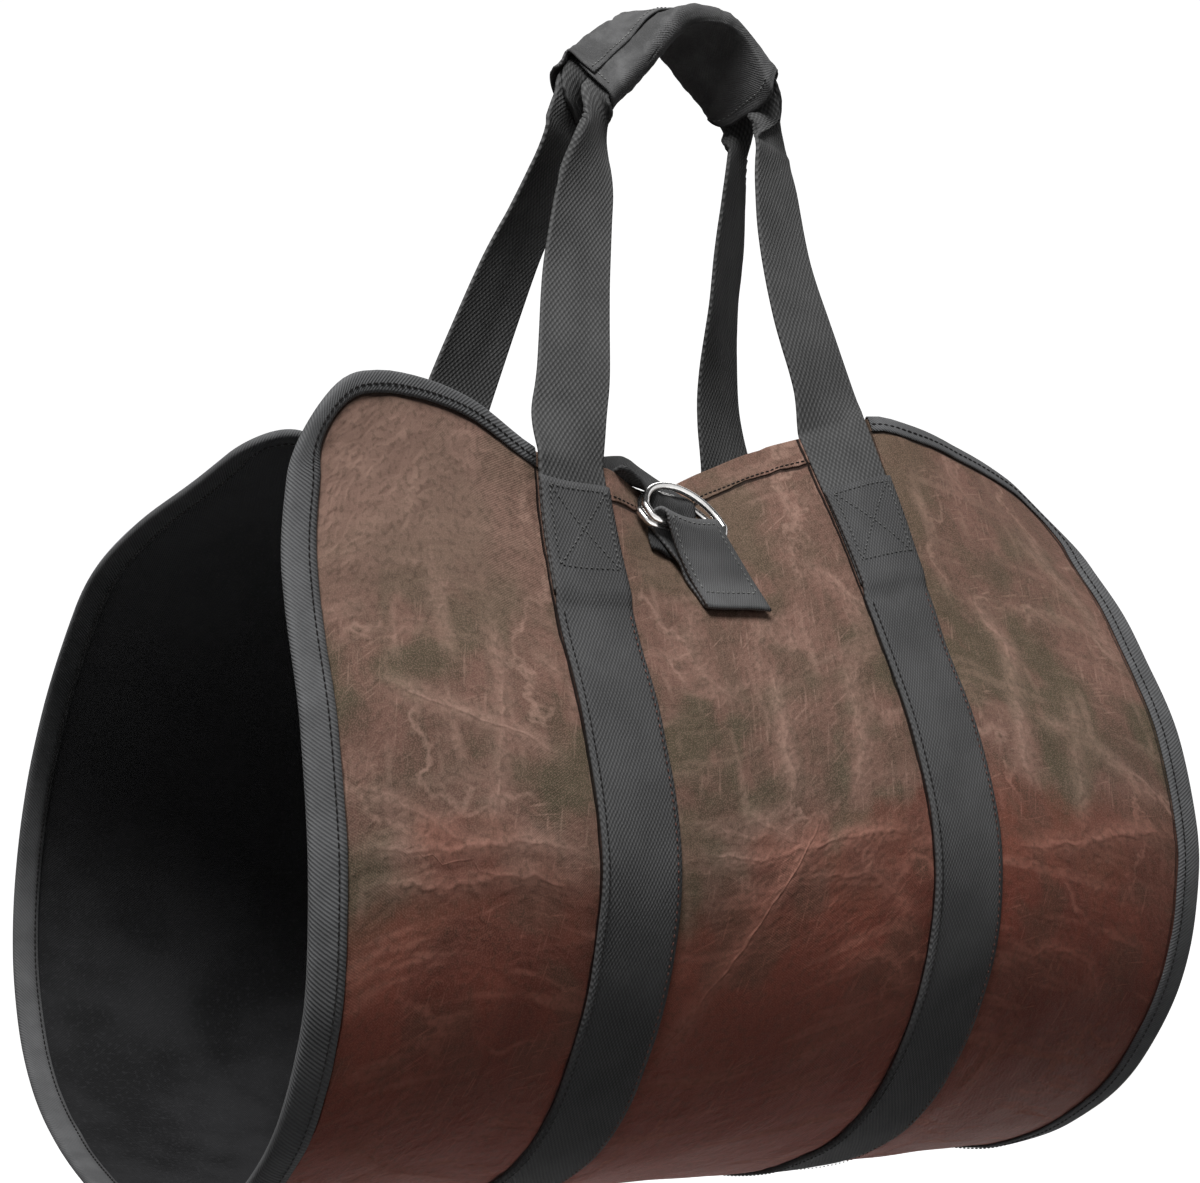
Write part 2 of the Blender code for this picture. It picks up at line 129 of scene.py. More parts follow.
# Soft dents of the loaded cloth: middle, half sizes and height outward.
#    u    v  half_u half_v height
DENTS = table(
    (MM,) * 4 + (TENTH,),
    (-165, 110, 45, 70, -22),
    (-155, 200, 55, 16, 14),
    (-165, 300, 50, 60, 18),
    (0, 150, 40, 50, -30),
    (5, 208, 55, 14, 16),
    (10, 300, 50, 70, 22),
    (-20, 40, 40, 30, -20),
    (160, 120, 45, 60, -24),
    (165, 205, 50, 16, 14),
    (160, 300, 45, 60, 18),
    (0, 860, 60, 80, -24),
    (-165, 800, 45, 80, 16),
    (165, 780, 45, 80, 14),
    (0, 720, 60, 60, 18),
)

# Creases in the wax; those that cross are on attributes of their own. Width of the pale line
# and height of the ridge in tenths of a millimetre, strength in hundredths, then the points
# of the flat cloth (u, v) in millimetres.
CREASES = {
    "crease_a": (
        (10, 6, 85, (-200, 124), (-169, 139), (-150, 145), (-112, 152)),
        (16, 9, 80, (-219, 187), (-173, 198), (-111, 190)),
        (18, 6, 75, (1, 110), (0, 129), (-3, 155), (-4, 184)),
        (12, 8, 75, (-66, 187), (-6, 201), (67, 215)),
        (16, 8, 60, (10, 268), (28, 260), (47, 267), (62, 290)),
        (20, 7, 75, (128, 88), (146, 119), (137, 152), (127, 205)),
        (14, 6, 55, (176, 40), (203, 75), (216, 110)),
        (12, 6, 60, (136, 300), (118, 355)),
        (14, 6, 40, (-25, 60), (-42, 93), (-33, 116), (-10, 130)),
        (16, 5, 45, (-182, 12), (-168, 38), (-174, 75)),
        (14, 6, 40, (35, 64), (60, 97), (64, 135)),
        (16, 7, 60, (-215, 560), (-150, 575), (-110, 566)),
        (16, 7, 60, (-60, 800), (10, 822), (66, 806)),
        (14, 7, 60, (112, 860), (170, 878), (218, 868)),
        (14, 7, 60, (-200, 900), (-150, 860), (-118, 850)),
    ),
    "crease_b": (
        (14, 6, 60, (-136, 80), (-140, 126), (-146, 160), (-163, 212)),
        (8, 8, 100, (16, 186), (-22, 218), (-49, 254), (-68, 292)),
        (12, 6, 65, (30, 224), (43, 236), (52, 247), (58, 266)),
        (16, 7, 65, (140, 158), (168, 161), (193, 174), (205, 190)),
        (16, 9, 80, (108, 231), (161, 214), (222, 188)),
        (12, 6, 60, (68, 290), (36, 299), (0, 305)),
        (12, 7, 60, (-210, 300), (-170, 345), (-120, 370)),
        (14, 7, 60, (20, 880), (50, 760), (66, 700)),
        (14, 7, 55, (-140, 960), (-165, 900), (-150, 800)),
    ),
    "crease_c": (
        (14, 6, 65, (-214, 164), (-192, 178), (-160, 200)),
        (12, 5, 55, (-124, 104), (-109, 110)),
        (14, 6, 55, (44, 120), (39, 167), (33, 180), (24, 194)),
        (10, 8, 70, (-36, 170), (-4, 201)),
        (14, 7, 60, (174, 130), (161, 185), (153, 226)),
        (14, 7, 55, (120, 282), (141, 267), (165, 268), (186, 290)),
        (16, 8, 75, (-219, 202), (-174, 211), (-111, 204)),
        (12, 6, 50, (-12, 211), (44, 231)),
        (14, 7, 60, (-60, 880), (-20, 840), (-40, 760)),
        (14, 7, 60, (130, 980), (150, 900), (200, 820)),
    ),
}

# The legs of the handles from the sheet upward: place, turn of the webbing's width about
# the vertical in degrees, and the share of its width that is left where it is folded.
#       x     y     z   turn share
LEG_UNITS = (TENTH,) * 3 + (1.0, CENT)
LEGS = {
    ("front", "left"): table(
        LEG_UNITS,
        (-820, -1420, 1620, 0, 100),
        (-750, -1340, 1850, 2, 100),
        (-600, -1110, 2370, 6, 100),
        (-470, -970, 2840, 17, 95),
        (-375, -880, 3180, 40, 75),
    ),
    ("front", "right"): table(
        LEG_UNITS,
        (865, -1095, 1960, 0, 100),
        (800, -1020, 2300, 5, 100),
        (775, -890, 2710, 14, 100),
        (775, -810, 3120, 22, 100),
        (780, -770, 3340, 28, 92),
    ),
    ("back", "left"): table(
        LEG_UNITS,
        (-855, -280, 1700, 0, 100),
        (-780, -290, 1960, 3, 100),
        (-570, -400, 2600, 20, 100),
        (-450, -480, 2910, 27, 100),
        (-365, -580, 3240, 36, 100),
    ),
    ("back", "right"): table(
        LEG_UNITS,
        (850, -250, 1690, 10, 100),
        (800, -240, 2060, 22, 100),
        (755, -350, 2540, 34, 95),
        (745, -420, 2900, 34, 90),
        (740, -490, 3280, 38, 80),
    ),
}
GRIP_SHARE = 0.53  # of the webbing's width, once it is folded inside the grip
GRIP_CELLS = 70
GRIP_STEPS = 5  # from one point of the wrap's profile to the next
GRIP_LENGTH = 0.13
STRAP_CELLS = 12
HANDLE_CELLS = 34
LAY = 0.0003  # between webbing and the cloth that it lies on
FRONT_STARTS = {"left": 0.012, "right": 0.036}
BACK_STARTS = {"left": 0.012, "right": 0.012}
OVERLAP = 0.055  # handle webbing under the end of a strap

# The centre line of the grip from left to right, the direction of its width, and scale.
GRIP_LINE = table(
    (TENTH,) * 3 + (CENT,) * 4,
    (-329, -760, 3478, -20, 69, 70, 88),
    (-90, -730, 3700, -5, 78, 62, 92),
    (165, -700, 3900, -5, 98, 16, 88),
    (500, -670, 3785, -12, 84, -52, 90),
    (730, -640, 3580, -17, 85, -50, 88),
)

# The closure strap over the gap, then down the front: v, height, middle, slope, width.
CLOSURE_LINE = table(
    (TENTH,) * 3 + (MM,),
    (-190, -440, 1580, 2),
    (-285, -720, 1570, 5),
    (-370, -980, 1490, 7),
    (-410, -1160, 1405, 8),
)
CLOSURE_FRONT = table(
    (TENTH,) * 3 + (CENT,) + (MM,),
    (35, 50, -390, 22, 42),
    (85, 75, -330, 48, 36),
    (145, 80, -295, 50, 31),
    (200, 56, -280, 50, 27),
    (255, 31, -278, 50, 27),
    (315, 24, -285, 50, 28),
    (380, 22, -300, 50, 30),
    (445, 22, -305, 48, 30),
)

CLOSURE_THICKNESS = 0.0016
CLOSURE_HALF = 0.017
CLOSURE_SEWN = 0.055  # sewn to the back panel, down from its edge
CLOSURE_BACK = -0.010  # its middle there
TAB_HALF = 0.0172
TAB_CELLS = 12

# The ring tab: v, height above the sheet, middle and slope.
TAB_LINE = table(
    (TENTH,) * 3 + (CENT,),
    (851, 13, -81, 42),
    (768, 13, -108, 44),
    (693, 14, -133, 46),
    (637, 22, -150, 48),
    (581, 40, -168, 50),
    (498, 43, -202, 50),
    (400, 43, -240, 50),
    (325, 46, -268, 50),
    (298, 60, -273, 50),
    (290, 92, -274, 50),
    (299, 127, -274, 50),
    (326, 151, -270, 50),
    (360, 153, -262, 50),
    (402, 134, -249, 50),
    (490, 94, -214, 50),
    (585, 66, -174, 50),
    (665, 44, -142, 47),
    (740, 33, -115, 45),
    (870, 32, -80, 42),
)
RING_BARS = ((0.0338, 0.0082), (0.0345, 0.0122))
RING_ENDS = (0.0056, 0.0124)
RING_MIDDLE = -0.0278


def ease(x):
    x = min(1.0, max(0.0, x))
    return x * x * (3.0 - 2.0 * x)


def blend(a, b, share):
    return a + (b - a) * share


def through(points, t):
    """A smooth value at t, in steps, through the rows of a table."""
    last = len(points) - 1
    i = min(last - 1, max(0, int(math.floor(t))))
    f = t - i
    p0 = points[max(0, i - 1)]
    p1 = points[i]
    p2 = points[i + 1]
    p3 = points[min(last, i + 2)]
    out = []
    for a, b, c, d in zip(p0, p1, p2, p3):
        slope_1 = (c - a) / 2.0
        slope_2 = (d - b) / 2.0
        cube = 2.0 * (b - c) + slope_1 + slope_2
        square = 3.0 * (c - b) - 2.0 * slope_1 - slope_2
        out.append(((cube * f + square) * f + slope_1) * f + b)
    return out


def dense(rows, steps):
    """Rows with steps smooth rows between each pair, every column on its own curve."""
    out = []
    for k in range((len(rows) - 1) * steps + 1):
        t = k / steps
        out.append([Vector(through([r[j] for r in rows], t)) for j in range(len(rows[0]))])
    return out


class Surface:
    """Where a point of the flat sheet lies once the sheet is wrapped round its load."""

    def __init__(self, sizes):
        self.width = sizes.sheet_width
        self.length = sizes.sheet_length
        self.thickness = sizes.sheet_thickness
        self.corner = sizes.corner_radius
        self.binding = sizes.binding_width
        self.strap = sizes.strap_width
        self.spacing = sizes.strap_spacing
        self.webbing = sizes.webbing_thickness
        self.known = {}

    def edge_shift(self, u):
        w = u * 0.460 / self.width
        w = min(EDGE[-1][0], max(EDGE[0][0], w))
        for i in range(len(EDGE) - 1):
            if w <= EDGE[i + 1][0]:
                break
        t = i + (w - EDGE[i][0]) / (EDGE[i + 1][0] - EDGE[i][0])
        return through([row[1:] for row in EDGE], t)

    def section(self, u):
        """The cross-section at u: (length so far, y, z) from the front edge on."""
        key = round(u, 5)
        if key in self.known:
            return self.known[key]
        half = self.width / 2.0
        strap = self.spacing / 2.0
        near = ease((-u - strap) / (half - strap))
        far = ease((u - strap) / (half - strap))
        shift = self.edge_shift(u)
        rows = []
        for i, (y, z, near_y, near_z, far_y, far_z) in enumerate(GIRTH):
            share = EDGE_SHARE[i] if i < len(EDGE_SHARE) else 0.0
            rows.append(
                (
                    y + near * near_y + far * far_y + share * shift[0],
                    z + near * near_z + far * far_z + share * shift[1],
                )
            )
        found = []
        length = 0.0
        before = None
        for k in range(16 * (len(rows) - 1) + 1):
            y, z = through(rows, k / 16.0)
            if before:
                length += math.hypot(y - before[0], z - before[1])
            before = (y, z)
            found.append((length, y, z))
        self.known[key] = found
        return found

    def bare(self, u, v):
        """The outer face in the bag's own frame, without its dents."""
        found = self.section(u)
        s = v / self.length * found[-1][0]
        i = 0
        j = len(found) - 1
        while j - i > 1:
            k = (i + j) // 2
            if found[k][0] <= s:
                i = k
            else:
                j = k
        a = found[i]
        b = found[i + 1]
        f = (s - a[0]) / (b[0] - a[0])
        half = self.width / 2.0
        strap = (self.spacing + self.strap) / 2.0
        outer = max(0.0, abs(u) - strap) / (half - strap)
        front = LEAN_FRONT[0] * (1.0 - ease(v / LEAN_FRONT[1]))
        back = LEAN_BACK[0] * (1.0 - ease((self.length - v) / LEAN_BACK[1]))
        x = u - math.copysign(outer * (front + back), u)
        return Vector((x, blend(a[1], b[1], f), blend(a[2], b[2], f)))

    def relief(self, u, v):
        """How far the loaded cloth stands out or in."""
        h = 0.0016 * noise.noise(Vector((u * 12.0, v * 10.0, 3.7)))
        h += 0.0007 * noise.noise(Vector((u * 31.0, v * 27.0, 8.1)))
        for mid_u, mid_v, half_u, half_v, height in DENTS:
            a = (u - mid_u) / half_u
            b = (v - mid_v) / half_v
            d = a * a + b * b
            if d < 6.0:
                h += height * math.exp(-d)
        return h

    def normal(self, u, v):
        d = 0.002
        along = self.bare(u + d, v) - self.bare(u - d, v)
        down = self.bare(u, v + d) - self.bare(u, v - d)
        return down.cross(along).normalized()

    def place(self, u, v, off=0.0):
        """A point that far off the outer face, in the row frame."""
        out = self.normal(u, v)
        return self.bare(u, v) + out * (off + self.relief(u, v)) - HANG_POINT

    def half_width(self, v):
        inside = min(v, self.length - v)
        if inside >= self.corner:
            return self.width / 2.0
        reach = self.corner - max(0.0, inside)
        return self.width / 2.0 - self.corner + math.sqrt(self.corner**2 - reach**2)

    def strap_middle(self, side):
        return self.spacing / 2.0 * (-1.0 if side == "left" else 1.0)


SURFACES = {}


def surface(context):
    sizes = context.scene.bag_sizes
    key = tuple(round(getattr(sizes, name), 6) for name in SIZE_NAMES)
    if key not in SURFACES:
        SURFACES[key] = Surface(sizes)
    return SURFACES[key]


def free(x, y, z):
    return Vector((x, y, z)) - HANG_POINT


def clear(name):
    found = bpy.data.objects.get(name)
    if found:
        bpy.data.objects.remove(found, do_unlink=True)


def new_piece(name, points, faces, uvs, stuffs):
    """A smooth mesh object at the origin, with a UV map in metres of flat cloth."""
    clear(name)
    mesh = bpy.data.meshes.new(name)
    mesh.from_pydata([tuple(p) for p in points], [], faces)
    for stuff in stuffs:
        mesh.materials.append(stuff)
    mesh.polygons.foreach_set("use_smooth", [True] * len(mesh.polygons))
    if uvs is not None:
        layer = mesh.uv_layers.new(name="cloth")
        corner = np.empty(len(mesh.loops), dtype=np.int32)
        mesh.loops.foreach_get("vertex_index", corner)
        layer.data.foreach_set("uv", np.asarray(uvs, dtype=np.float32)[corner].ravel())
    obj = bpy.data.objects.new(name, mesh)
    bpy.context.scene.collection.objects.link(obj)
    return obj


def woven(name, rows, uvs, thickness, stuffs, offset=0.0):
    """Cloth through rows of points, as thick as it is woven."""
    across = len(rows[0])
    points = [p for row in rows for p in row]
    flat_uvs = [q for row in uvs for q in row]
    faces = []
    for i in range(len(rows) - 1):
        for j in range(across - 1):
            a = i * across + j
            faces.append((a, a + 1, a + across + 1, a + across))
    obj = new_piece(name, points, faces, flat_uvs, stuffs)
    solid = obj.modifiers.new("thickness", "SOLIDIFY")
    solid.thickness = thickness
    solid.offset = offset
    solid.thickness_clamp = 0.0
    if len(stuffs) > 1:
        solid.material_offset = 1
    return obj


def settle(obj, node):
    """The piece rides on the bag and stands for its solid."""
    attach(obj, "root")
    if node:
        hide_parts(node)


def spread(cells):
    """Places across a band, from -1 to 1."""
    return [-1.0 + 2.0 * k / cells for k in range(cells + 1)]


def lengths(rows):
    """Distance along the middle column at each row."""
    mid = len(rows[0]) // 2
    out = [0.0]
    for a, b in zip(rows, rows[1:]):
        out.append(out[-1] + (b[mid] - a[mid]).length)
    return out


class Number:
    """A value in a material's nodes that can be used in sums."""

    def __init__(self, finish, socket):
        self.finish = finish
        self.socket = socket

    def apply(self, operation, *values):
        node = self.finish.add(
            "ShaderNodeMath", {"operation": operation}, dict(enumerate(values))
        )
        return Number(self.finish, node.outputs[0])

    def __add__(self, other):
        return self.apply("ADD", self, other)

    def __radd__(self, other):
        return self.apply("ADD", other, self)

    def __sub__(self, other):
        return self.apply("SUBTRACT", self, other)

    def __rsub__(self, other):
        return self.apply("SUBTRACT", other, self)

    def __mul__(self, other):
        return self.apply("MULTIPLY", self, other)

    def __rmul__(self, other):
        return self.apply("MULTIPLY", other, self)

    def size(self):
        return self.apply("ABSOLUTE", self)

    def root(self):
        return self.apply("SQRT", self)

    def above(self, other):
        return self.apply("GREATER_THAN", self, other)

    def cosine(self):
        return self.apply("COSINE", self)

    def larger(self, other):
        return self.apply("MAXIMUM", self, other)

    def smaller(self, other):
        return self.apply("MINIMUM", self, other)


class Finish:
    """A material and the nodes that it is made of."""

    def __init__(self, name):
        found = bpy.data.materials.get(name)
        if found:
            bpy.data.materials.remove(found)
        self.material = bpy.data.materials.new(name)
        self.material.use_nodes = True
        self.tree = self.material.node_tree
        self.tree.nodes.clear()

    def add(self, kind, settings=None, values=None):
        """A node of that type, its settings first, then the values or links of its sockets."""
        node = self.tree.nodes.new(kind)
        for name, value in (settings or {}).items():
            setattr(node, name, value)
        for name, value in (values or {}).items():
            value = value.socket if isinstance(value, Number) else value
            if isinstance(value, bpy.types.NodeSocket):
                self.tree.links.new(value, node.inputs[name])
            else:
                node.inputs[name].default_value = value
        return node

    def number(self, node, output=0):
        return Number(self, node.outputs[output])

    def cloth(self):
        """The piece's own UV in metres: across, along, and both as a vector."""
        uv = self.add("ShaderNodeUVMap", {"uv_map": "cloth"})
        parts = self.add("ShaderNodeSeparateXYZ", None, {0: uv.outputs[0]})
        return self.number(parts, 0), self.number(parts, 1), uv.outputs[0]

    def position(self):
        return self.add("ShaderNodeTexCoord").outputs["Object"]

    def vector(self, x, y, z=0.0):
        return self.add("ShaderNodeCombineXYZ", None, {0: x, 1: y, 2: z}).outputs[0]

    def noise(self, where, scale, detail=2.0, roughness=0.5, distortion=0.0, kind="2D"):
        node = self.add(
            "ShaderNodeTexNoise",
            {"noise_dimensions": kind},
            {
                "Vector": where,
                "Scale": scale,
                "Detail": detail,
                "Roughness": roughness,
                "Distortion": distortion,
            },
        )
        return self.number(node)

    def cracks(self, where, scale):
        node = self.add(
            "ShaderNodeTexVoronoi",
            {"feature": "DISTANCE_TO_EDGE", "voronoi_dimensions": "2D"},
            {"Vector": where, "Scale": scale},
        )
        return self.number(node)

    def step(self, value, low, high, start=0.0, end=1.0):
        node = self.add(
            "ShaderNodeMapRange",
            {"interpolation_type": "SMOOTHSTEP"},
            {"Value": value, 1: low, 2: high, 3: start, 4: end},
        )
        return self.number(node)

    def fall(self, value, low, high):
        return self.step(value, low, high, 1.0, 0.0)

    def weave(self, u, v, across, along):
        """Thread crowns that far apart, from -1 to 1."""
        return (u * (2.0 * math.pi / across)).cosine() * (v * (2.0 * math.pi / along)).cosine()

    def mix(self, factor, a, b):
        node = self.add(
            "ShaderNodeMix",
            {"data_type": "RGBA", "blend_type": "MIX", "clamp_factor": True},
            {0: factor, 6: a, 7: b},
        )
        return node.outputs[2]

    def finish(self, color, roughness, height=None, depth=0.0005, **constants):
        """The shader with these values; height is a bump, as deep as depth in metres."""
        values = {"Base Color": color, "Roughness": roughness}
        values.update({k.replace("_", " "): v for k, v in constants.items()})
        shader = self.add("ShaderNodeBsdfPrincipled", None, values)
        if height is not None:
            bump = self.add(
                "ShaderNodeBump", None, {"Strength": 1.0, "Distance": depth, "Height": height}
            )
            self.tree.links.new(bump.outputs[0], shader.inputs["Normal"])
        output = self.add("ShaderNodeOutputMaterial")
        self.tree.links.new(shader.outputs[0], output.inputs[0])
        return self.material


def four(color):
    return (color[0], color[1], color[2], 1.0)


def scaled(color, share):
    return (color[0] * share, color[1] * share, color[2] * share, 1.0)


def crease_lines(f, wobble):
    """The pale lines where the cloth has been folded, their soft glow and their ridge."""
    lines = None
    glow = None
    ridge = None
    for name in CREASES:
        attribute = f.add("ShaderNodeAttribute", {"attribute_name": name})
        parts = f.add("ShaderNodeSeparateXYZ", None, {0: attribute.outputs["Vector"]})
        distance = f.number(parts, 0) + wobble * 0.0040
        strength = f.number(parts, 1)
        soft = f.number(parts, 2)
        line = f.fall(distance.size(), 0.0001, 0.0013) * strength
        lines = line if lines is None else lines.larger(line)
        glow = soft if glow is None else glow.larger(soft)
        ridge = line if ridge is None else ridge + line
    return lines, glow, ridge


def needle_lines(f, s, u, v, wobble):
    """The shadow in the needle line beside each strap, each binding and the hems."""
    half = s.strap / 2.0
    gap = None
    for mid in (-s.spacing / 2.0, s.spacing / 2.0):
        left = f.fall((mid - half - 0.0003 - u + wobble * 0.0010).size(), 0.0003, 0.0009)
        right = f.fall((u - mid - half - 0.0001 + wobble * 0.0008).size(), 0.0003, 0.0009)
        both = left.larger(right * 0.7)
        gap = both if gap is None else gap.larger(both)
    across = (u.size() - (s.width / 2.0 - s.corner)).larger(0.0)
    middle = v - s.length / 2.0
    along = (middle.size() - (s.length / 2.0 - s.corner)).larger(0.0)
    reach = (across * across + along * along).root()
    inside = (s.width / 2.0 - u.size()).smaller(s.length / 2.0 - middle.size())
    near_corner = across.smaller(along).above(0.0001)
    edge = inside + near_corner * (s.corner - reach - inside)
    end = s.length / 2.0
    tape_width = s.binding * f.step(middle.size(), end - 0.040, end - 0.006, 1.0, 0.58)
    tape_line = f.fall((edge - tape_width - 0.0010 + wobble * 0.0012).size(), 0.0004, 0.0012)
    tape_line = tape_line * f.step(u.size(), s.spacing / 2.0, s.spacing / 2.0 + 0.001)
    tape_line = tape_line * f.step(middle.size(), end - 0.06, end - 0.02, 0.55, 1.0)
    hem = f.fall((inside - 0.0166 + wobble * 0.0022).size(), 0.0003, 0.0011)
    hem = hem * f.fall(u.size(), s.spacing / 2.0 - 0.001, s.spacing / 2.0)
    return gap.larger(tape_line * 0.9).larger(hem * 0.9)


def canvas_outside(looks, s):
    """Waxed canvas: brown and olive patches, redder below, with pale lines where it creased;
    painted light along the top edges, painted shade round the bottom and in the needle lines.
    """
    f = Finish("waxed canvas")
    u, v, where = f.cloth()
    blotch = f.noise(where, 62.0, 3.0, 0.62)
    tone = f.add("ShaderNodeAttribute", {"attribute_name": "tone"})
    tones = f.add("ShaderNodeSeparateXYZ", None, {0: tone.outputs["Vector"]})
    patch = f.number(tones, 0) + (blotch - 0.5) * 0.25
    second = f.number(tones, 1) - (blotch - 0.5) * 0.20
    fine = f.noise(where, 330.0, 1.0, 0.65)
    grain = f.noise(where, 1500.0, 0.0)
    upright = f.noise(f.vector(u * 70.0 + 2.0, v * 15.0), 1.0, 2.0, 0.6)
    level = f.noise(f.vector(u * 13.0, v * 80.0 + 5.0), 1.0, 2.0, 0.6)
    wobble = f.noise(where, 85.0, 1.0, 0.6) - 0.5
    broken = f.step(second, 0.40, 0.58)
    speckle = f.step(f.noise(where, 240.0, 2.0, 0.7), 0.40, 0.60)
    # Where the fold is redder and darker: below a soft line round the body.
    low = f.step(v + (patch - 0.5) * 0.070 + u * 0.03, 0.186, 0.214) * 0.62
    low = low + f.step(v + (second - 0.5) * 0.06, 0.195, 0.260) * 0.38
    low = low * f.fall(v + (patch - 0.5) * 0.08, 0.700, 0.900)
    top = f.fall(v, 0.010, 0.150).larger(f.step(v, s.length - 0.15, s.length - 0.01))
    # Round the bottom the cloth is redder, and darker partly as painted shade for the light
    # falling off below.
    under = f.step(v, 0.225, 0.330) * f.fall(v, 0.620, 0.800)
    lines, glow, ridge = crease_lines(f, wobble)
    # A finer net of handling creases over the whole cloth.
    bent = f.vector(
        u + (blotch - 0.5) * 0.022 + patch * 0.05, v + (blotch - 0.5) * 0.018 + second * 0.06
    )
    net = f.fall(f.cracks(bent, 14.0), 0.004, 0.055)
    net = net * f.step(patch, 0.46, 0.60)
    scratch_a = f.noise(f.vector(u * 620.0 + v * 140.0, v * 46.0), 1.0, 1.0, 0.6)
    scratch_b = f.noise(f.vector(u * 38.0 - v * 20.0, v * 560.0 + u * 240.0), 1.0, 1.0, 0.6)
    scratches = f.step(scratch_a, 0.64, 0.76).larger(f.step(scratch_b, 0.66, 0.78))
    scratches = scratches * f.step(second, 0.42, 0.58)
    marks = (lines * (0.50 + broken * 0.60)).larger(glow * (0.42 + blotch * 0.85))
    marks = marks.larger(net * 0.62).larger(scratches * 0.45)
    marks = marks.larger(f.step(upright, 0.56, 0.78) * (1.0 - low * 0.7) * 0.50)
    marks = marks.larger(f.step(level, 0.54, 0.76) * (0.34 + low * 0.34))
    marks = marks * (0.66 + speckle * 0.34)
    # Olive and pinkish patches above the line, red with dark patches below it.
    base = f.mix(f.step(patch, 0.40, 0.60), four(looks.canvas_olive), four(looks.canvas_brown))
    base = f.mix(f.step(second, 0.48, 0.66) * 0.80, base, four(looks.canvas_pink))
    base = f.mix(f.step(blotch, 0.48, 0.70) * 0.45, base, scaled(looks.canvas_olive, 0.72))
    base = f.mix(f.fall(upright, 0.30, 0.46) * 0.40, base, scaled(looks.canvas_olive, 0.70))
    # Painted light: lighter along the top edges, as lit from above; the pinker tone there is the
    # cloth's own.
    base = f.mix(top * 0.24, base, scaled(looks.canvas_pink, 1.12))
    # Lightens the top left corner towards the crease colour.
    top_left_lift = f.fall(u, -0.17, -0.08) * f.fall(v, 0.040, 0.120)
    base = f.mix(top_left_lift * (0.48 + patch * 0.45), base, scaled(looks.canvas_mark, 0.80))
    red = f.mix(f.step(patch, 0.42, 0.62), four(looks.canvas_red), scaled(looks.canvas_red, 0.62))
    red = f.mix(f.step(second, 0.50, 0.68) * 0.6, red, scaled(looks.canvas_olive, 0.66))
    # Painted shade, with the cloth's own redness: the keel colour round the bottom, darker still
    # towards the right end.
    red = f.mix(under * 0.92, red, four(looks.canvas_keel))
    red = f.mix(under * f.step(u, 0.06, 0.18) * 0.60, red, scaled(looks.canvas_keel, 0.30))
    base = f.mix(low * 0.86, base, red)
    tint = f.mix(low * 0.85, four(looks.canvas_mark), four(looks.canvas_mark_red))
    color = f.mix(marks * 0.80, base, tint)
    color = f.mix(f.step(fine, 0.48, 0.72) * 0.30, color, scaled(looks.canvas_olive, 0.45))
    color = f.mix(f.step(grain, 0.40, 0.72) * (0.22 - under * 0.12), color, tint)
    # Painted shadow in the needle lines beside the straps, beside the binding and along the hems.
    gap = needle_lines(f, s, u, v, wobble)
    color = f.mix(gap * 0.92, color, (0.006, 0.005, 0.005, 1.0))
    weave = f.weave(u, v, 0.0011, 0.0011)
    height = weave * 0.07 + ridge * 0.28 + glow * 0.45 + fine * 0.35 + blotch * 1.4
    height = height - gap * 1.6
    roughness = 0.58 + marks * 0.14 + patch * 0.14
    return f.finish(color, roughness, height, 0.0010, Specular_IOR_Level=0.07, Sheen_Weight=0.02)


def canvas_inside(looks):
    # The inner face of the sheet: near black, with faint clouds, weave and flecks.
    f = Finish("dark canvas inside")
    u, v, where = f.cloth()
    cloud = f.noise(where, 18.0, 4.0, 0.55)
    weave = f.weave(u, v, 0.0013, 0.0013)
    fine = f.noise(where, 500.0, 2.0)
    black = looks.canvas_inside
    color = f.mix(f.step(cloud, 0.3, 0.7), scaled(black, 0.7), scaled(black, 1.6))
    color = f.mix(f.step(fine, 0.5, 0.8) * 0.4, color, scaled(black, 3.0))
    height = weave * 0.25 + fine * 0.35 + cloud * 2.0
    return f.finish(color, 0.66 + fine * 0.2, height, 0.0006, Specular_IOR_Level=0.12)


def webbing(name, color, across, along, contrast, depth):
    """Webbing with a lattice of thread crowns, across and along apart."""
    f = Finish(name)
    u, v, where = f.cloth()
    wave = (f.noise(where, 140.0, 1.0) - 0.5) * 0.0007
    crown = f.weave(u + wave, v + wave, across, along)
    fuzz = f.noise(f.vector(u * 2600.0, v * 1500.0), 1.0, 2.0, 0.6)
    cloud = f.noise(where, 30.0, 3.0, 0.6)
    lit = f.step(crown, -0.1, 0.95) * (0.45 + fuzz * 0.9)
    edge = f.step(u.size(), 0.0168, 0.0186)
    base = f.mix(f.step(cloud, 0.3, 0.7), scaled(color, 0.84), scaled(color, 1.12))
    base = f.mix(f.fall(crown, -0.9, 0.1) * contrast, base, scaled(color, 0.42))
    base = f.mix(lit * contrast * 0.85, base, scaled(color, 2.7))
    base = f.mix(edge * 0.45, base, scaled(color, 1.35))
    base = f.mix(f.step(fuzz, 0.62, 0.80) * 0.30, base, scaled(color, 2.4))
    height = crown * 0.7 + fuzz * 0.5 + cloud * 0.8
    return f.finish(
        base, 0.80 + fuzz * 0.12, height, depth, Specular_IOR_Level=0.06, Sheen_Weight=0.05
    )


def tape(looks):
    f = Finish("binding tape")
    u, v, where = f.cloth()
    slant = ((v + u) * (2.0 * math.pi / 0.0017)).cosine()
    cloud = f.noise(where, 40.0, 3.0, 0.6)
    fuzz = f.noise(where, 1500.0, 2.0, 0.6)
    color = looks.binding
    base = f.mix(f.step(cloud, 0.3, 0.7), scaled(color, 0.82), scaled(color, 1.15))
    base = f.mix(f.step(slant, -0.2, 0.9) * 0.34, base, scaled(color, 1.6))
    base = f.mix(f.fall(slant, -1.0, -0.3) * 0.34, base, scaled(color, 0.5))
    base = f.mix(f.step(fuzz, 0.58, 0.80) * 0.30, base, scaled(color, 2.0))
    height = slant * 0.5 + fuzz * 0.5 + cloud
    return f.finish(base, 0.82, height, 0.00020, Specular_IOR_Level=0.06, Sheen_Weight=0.05)


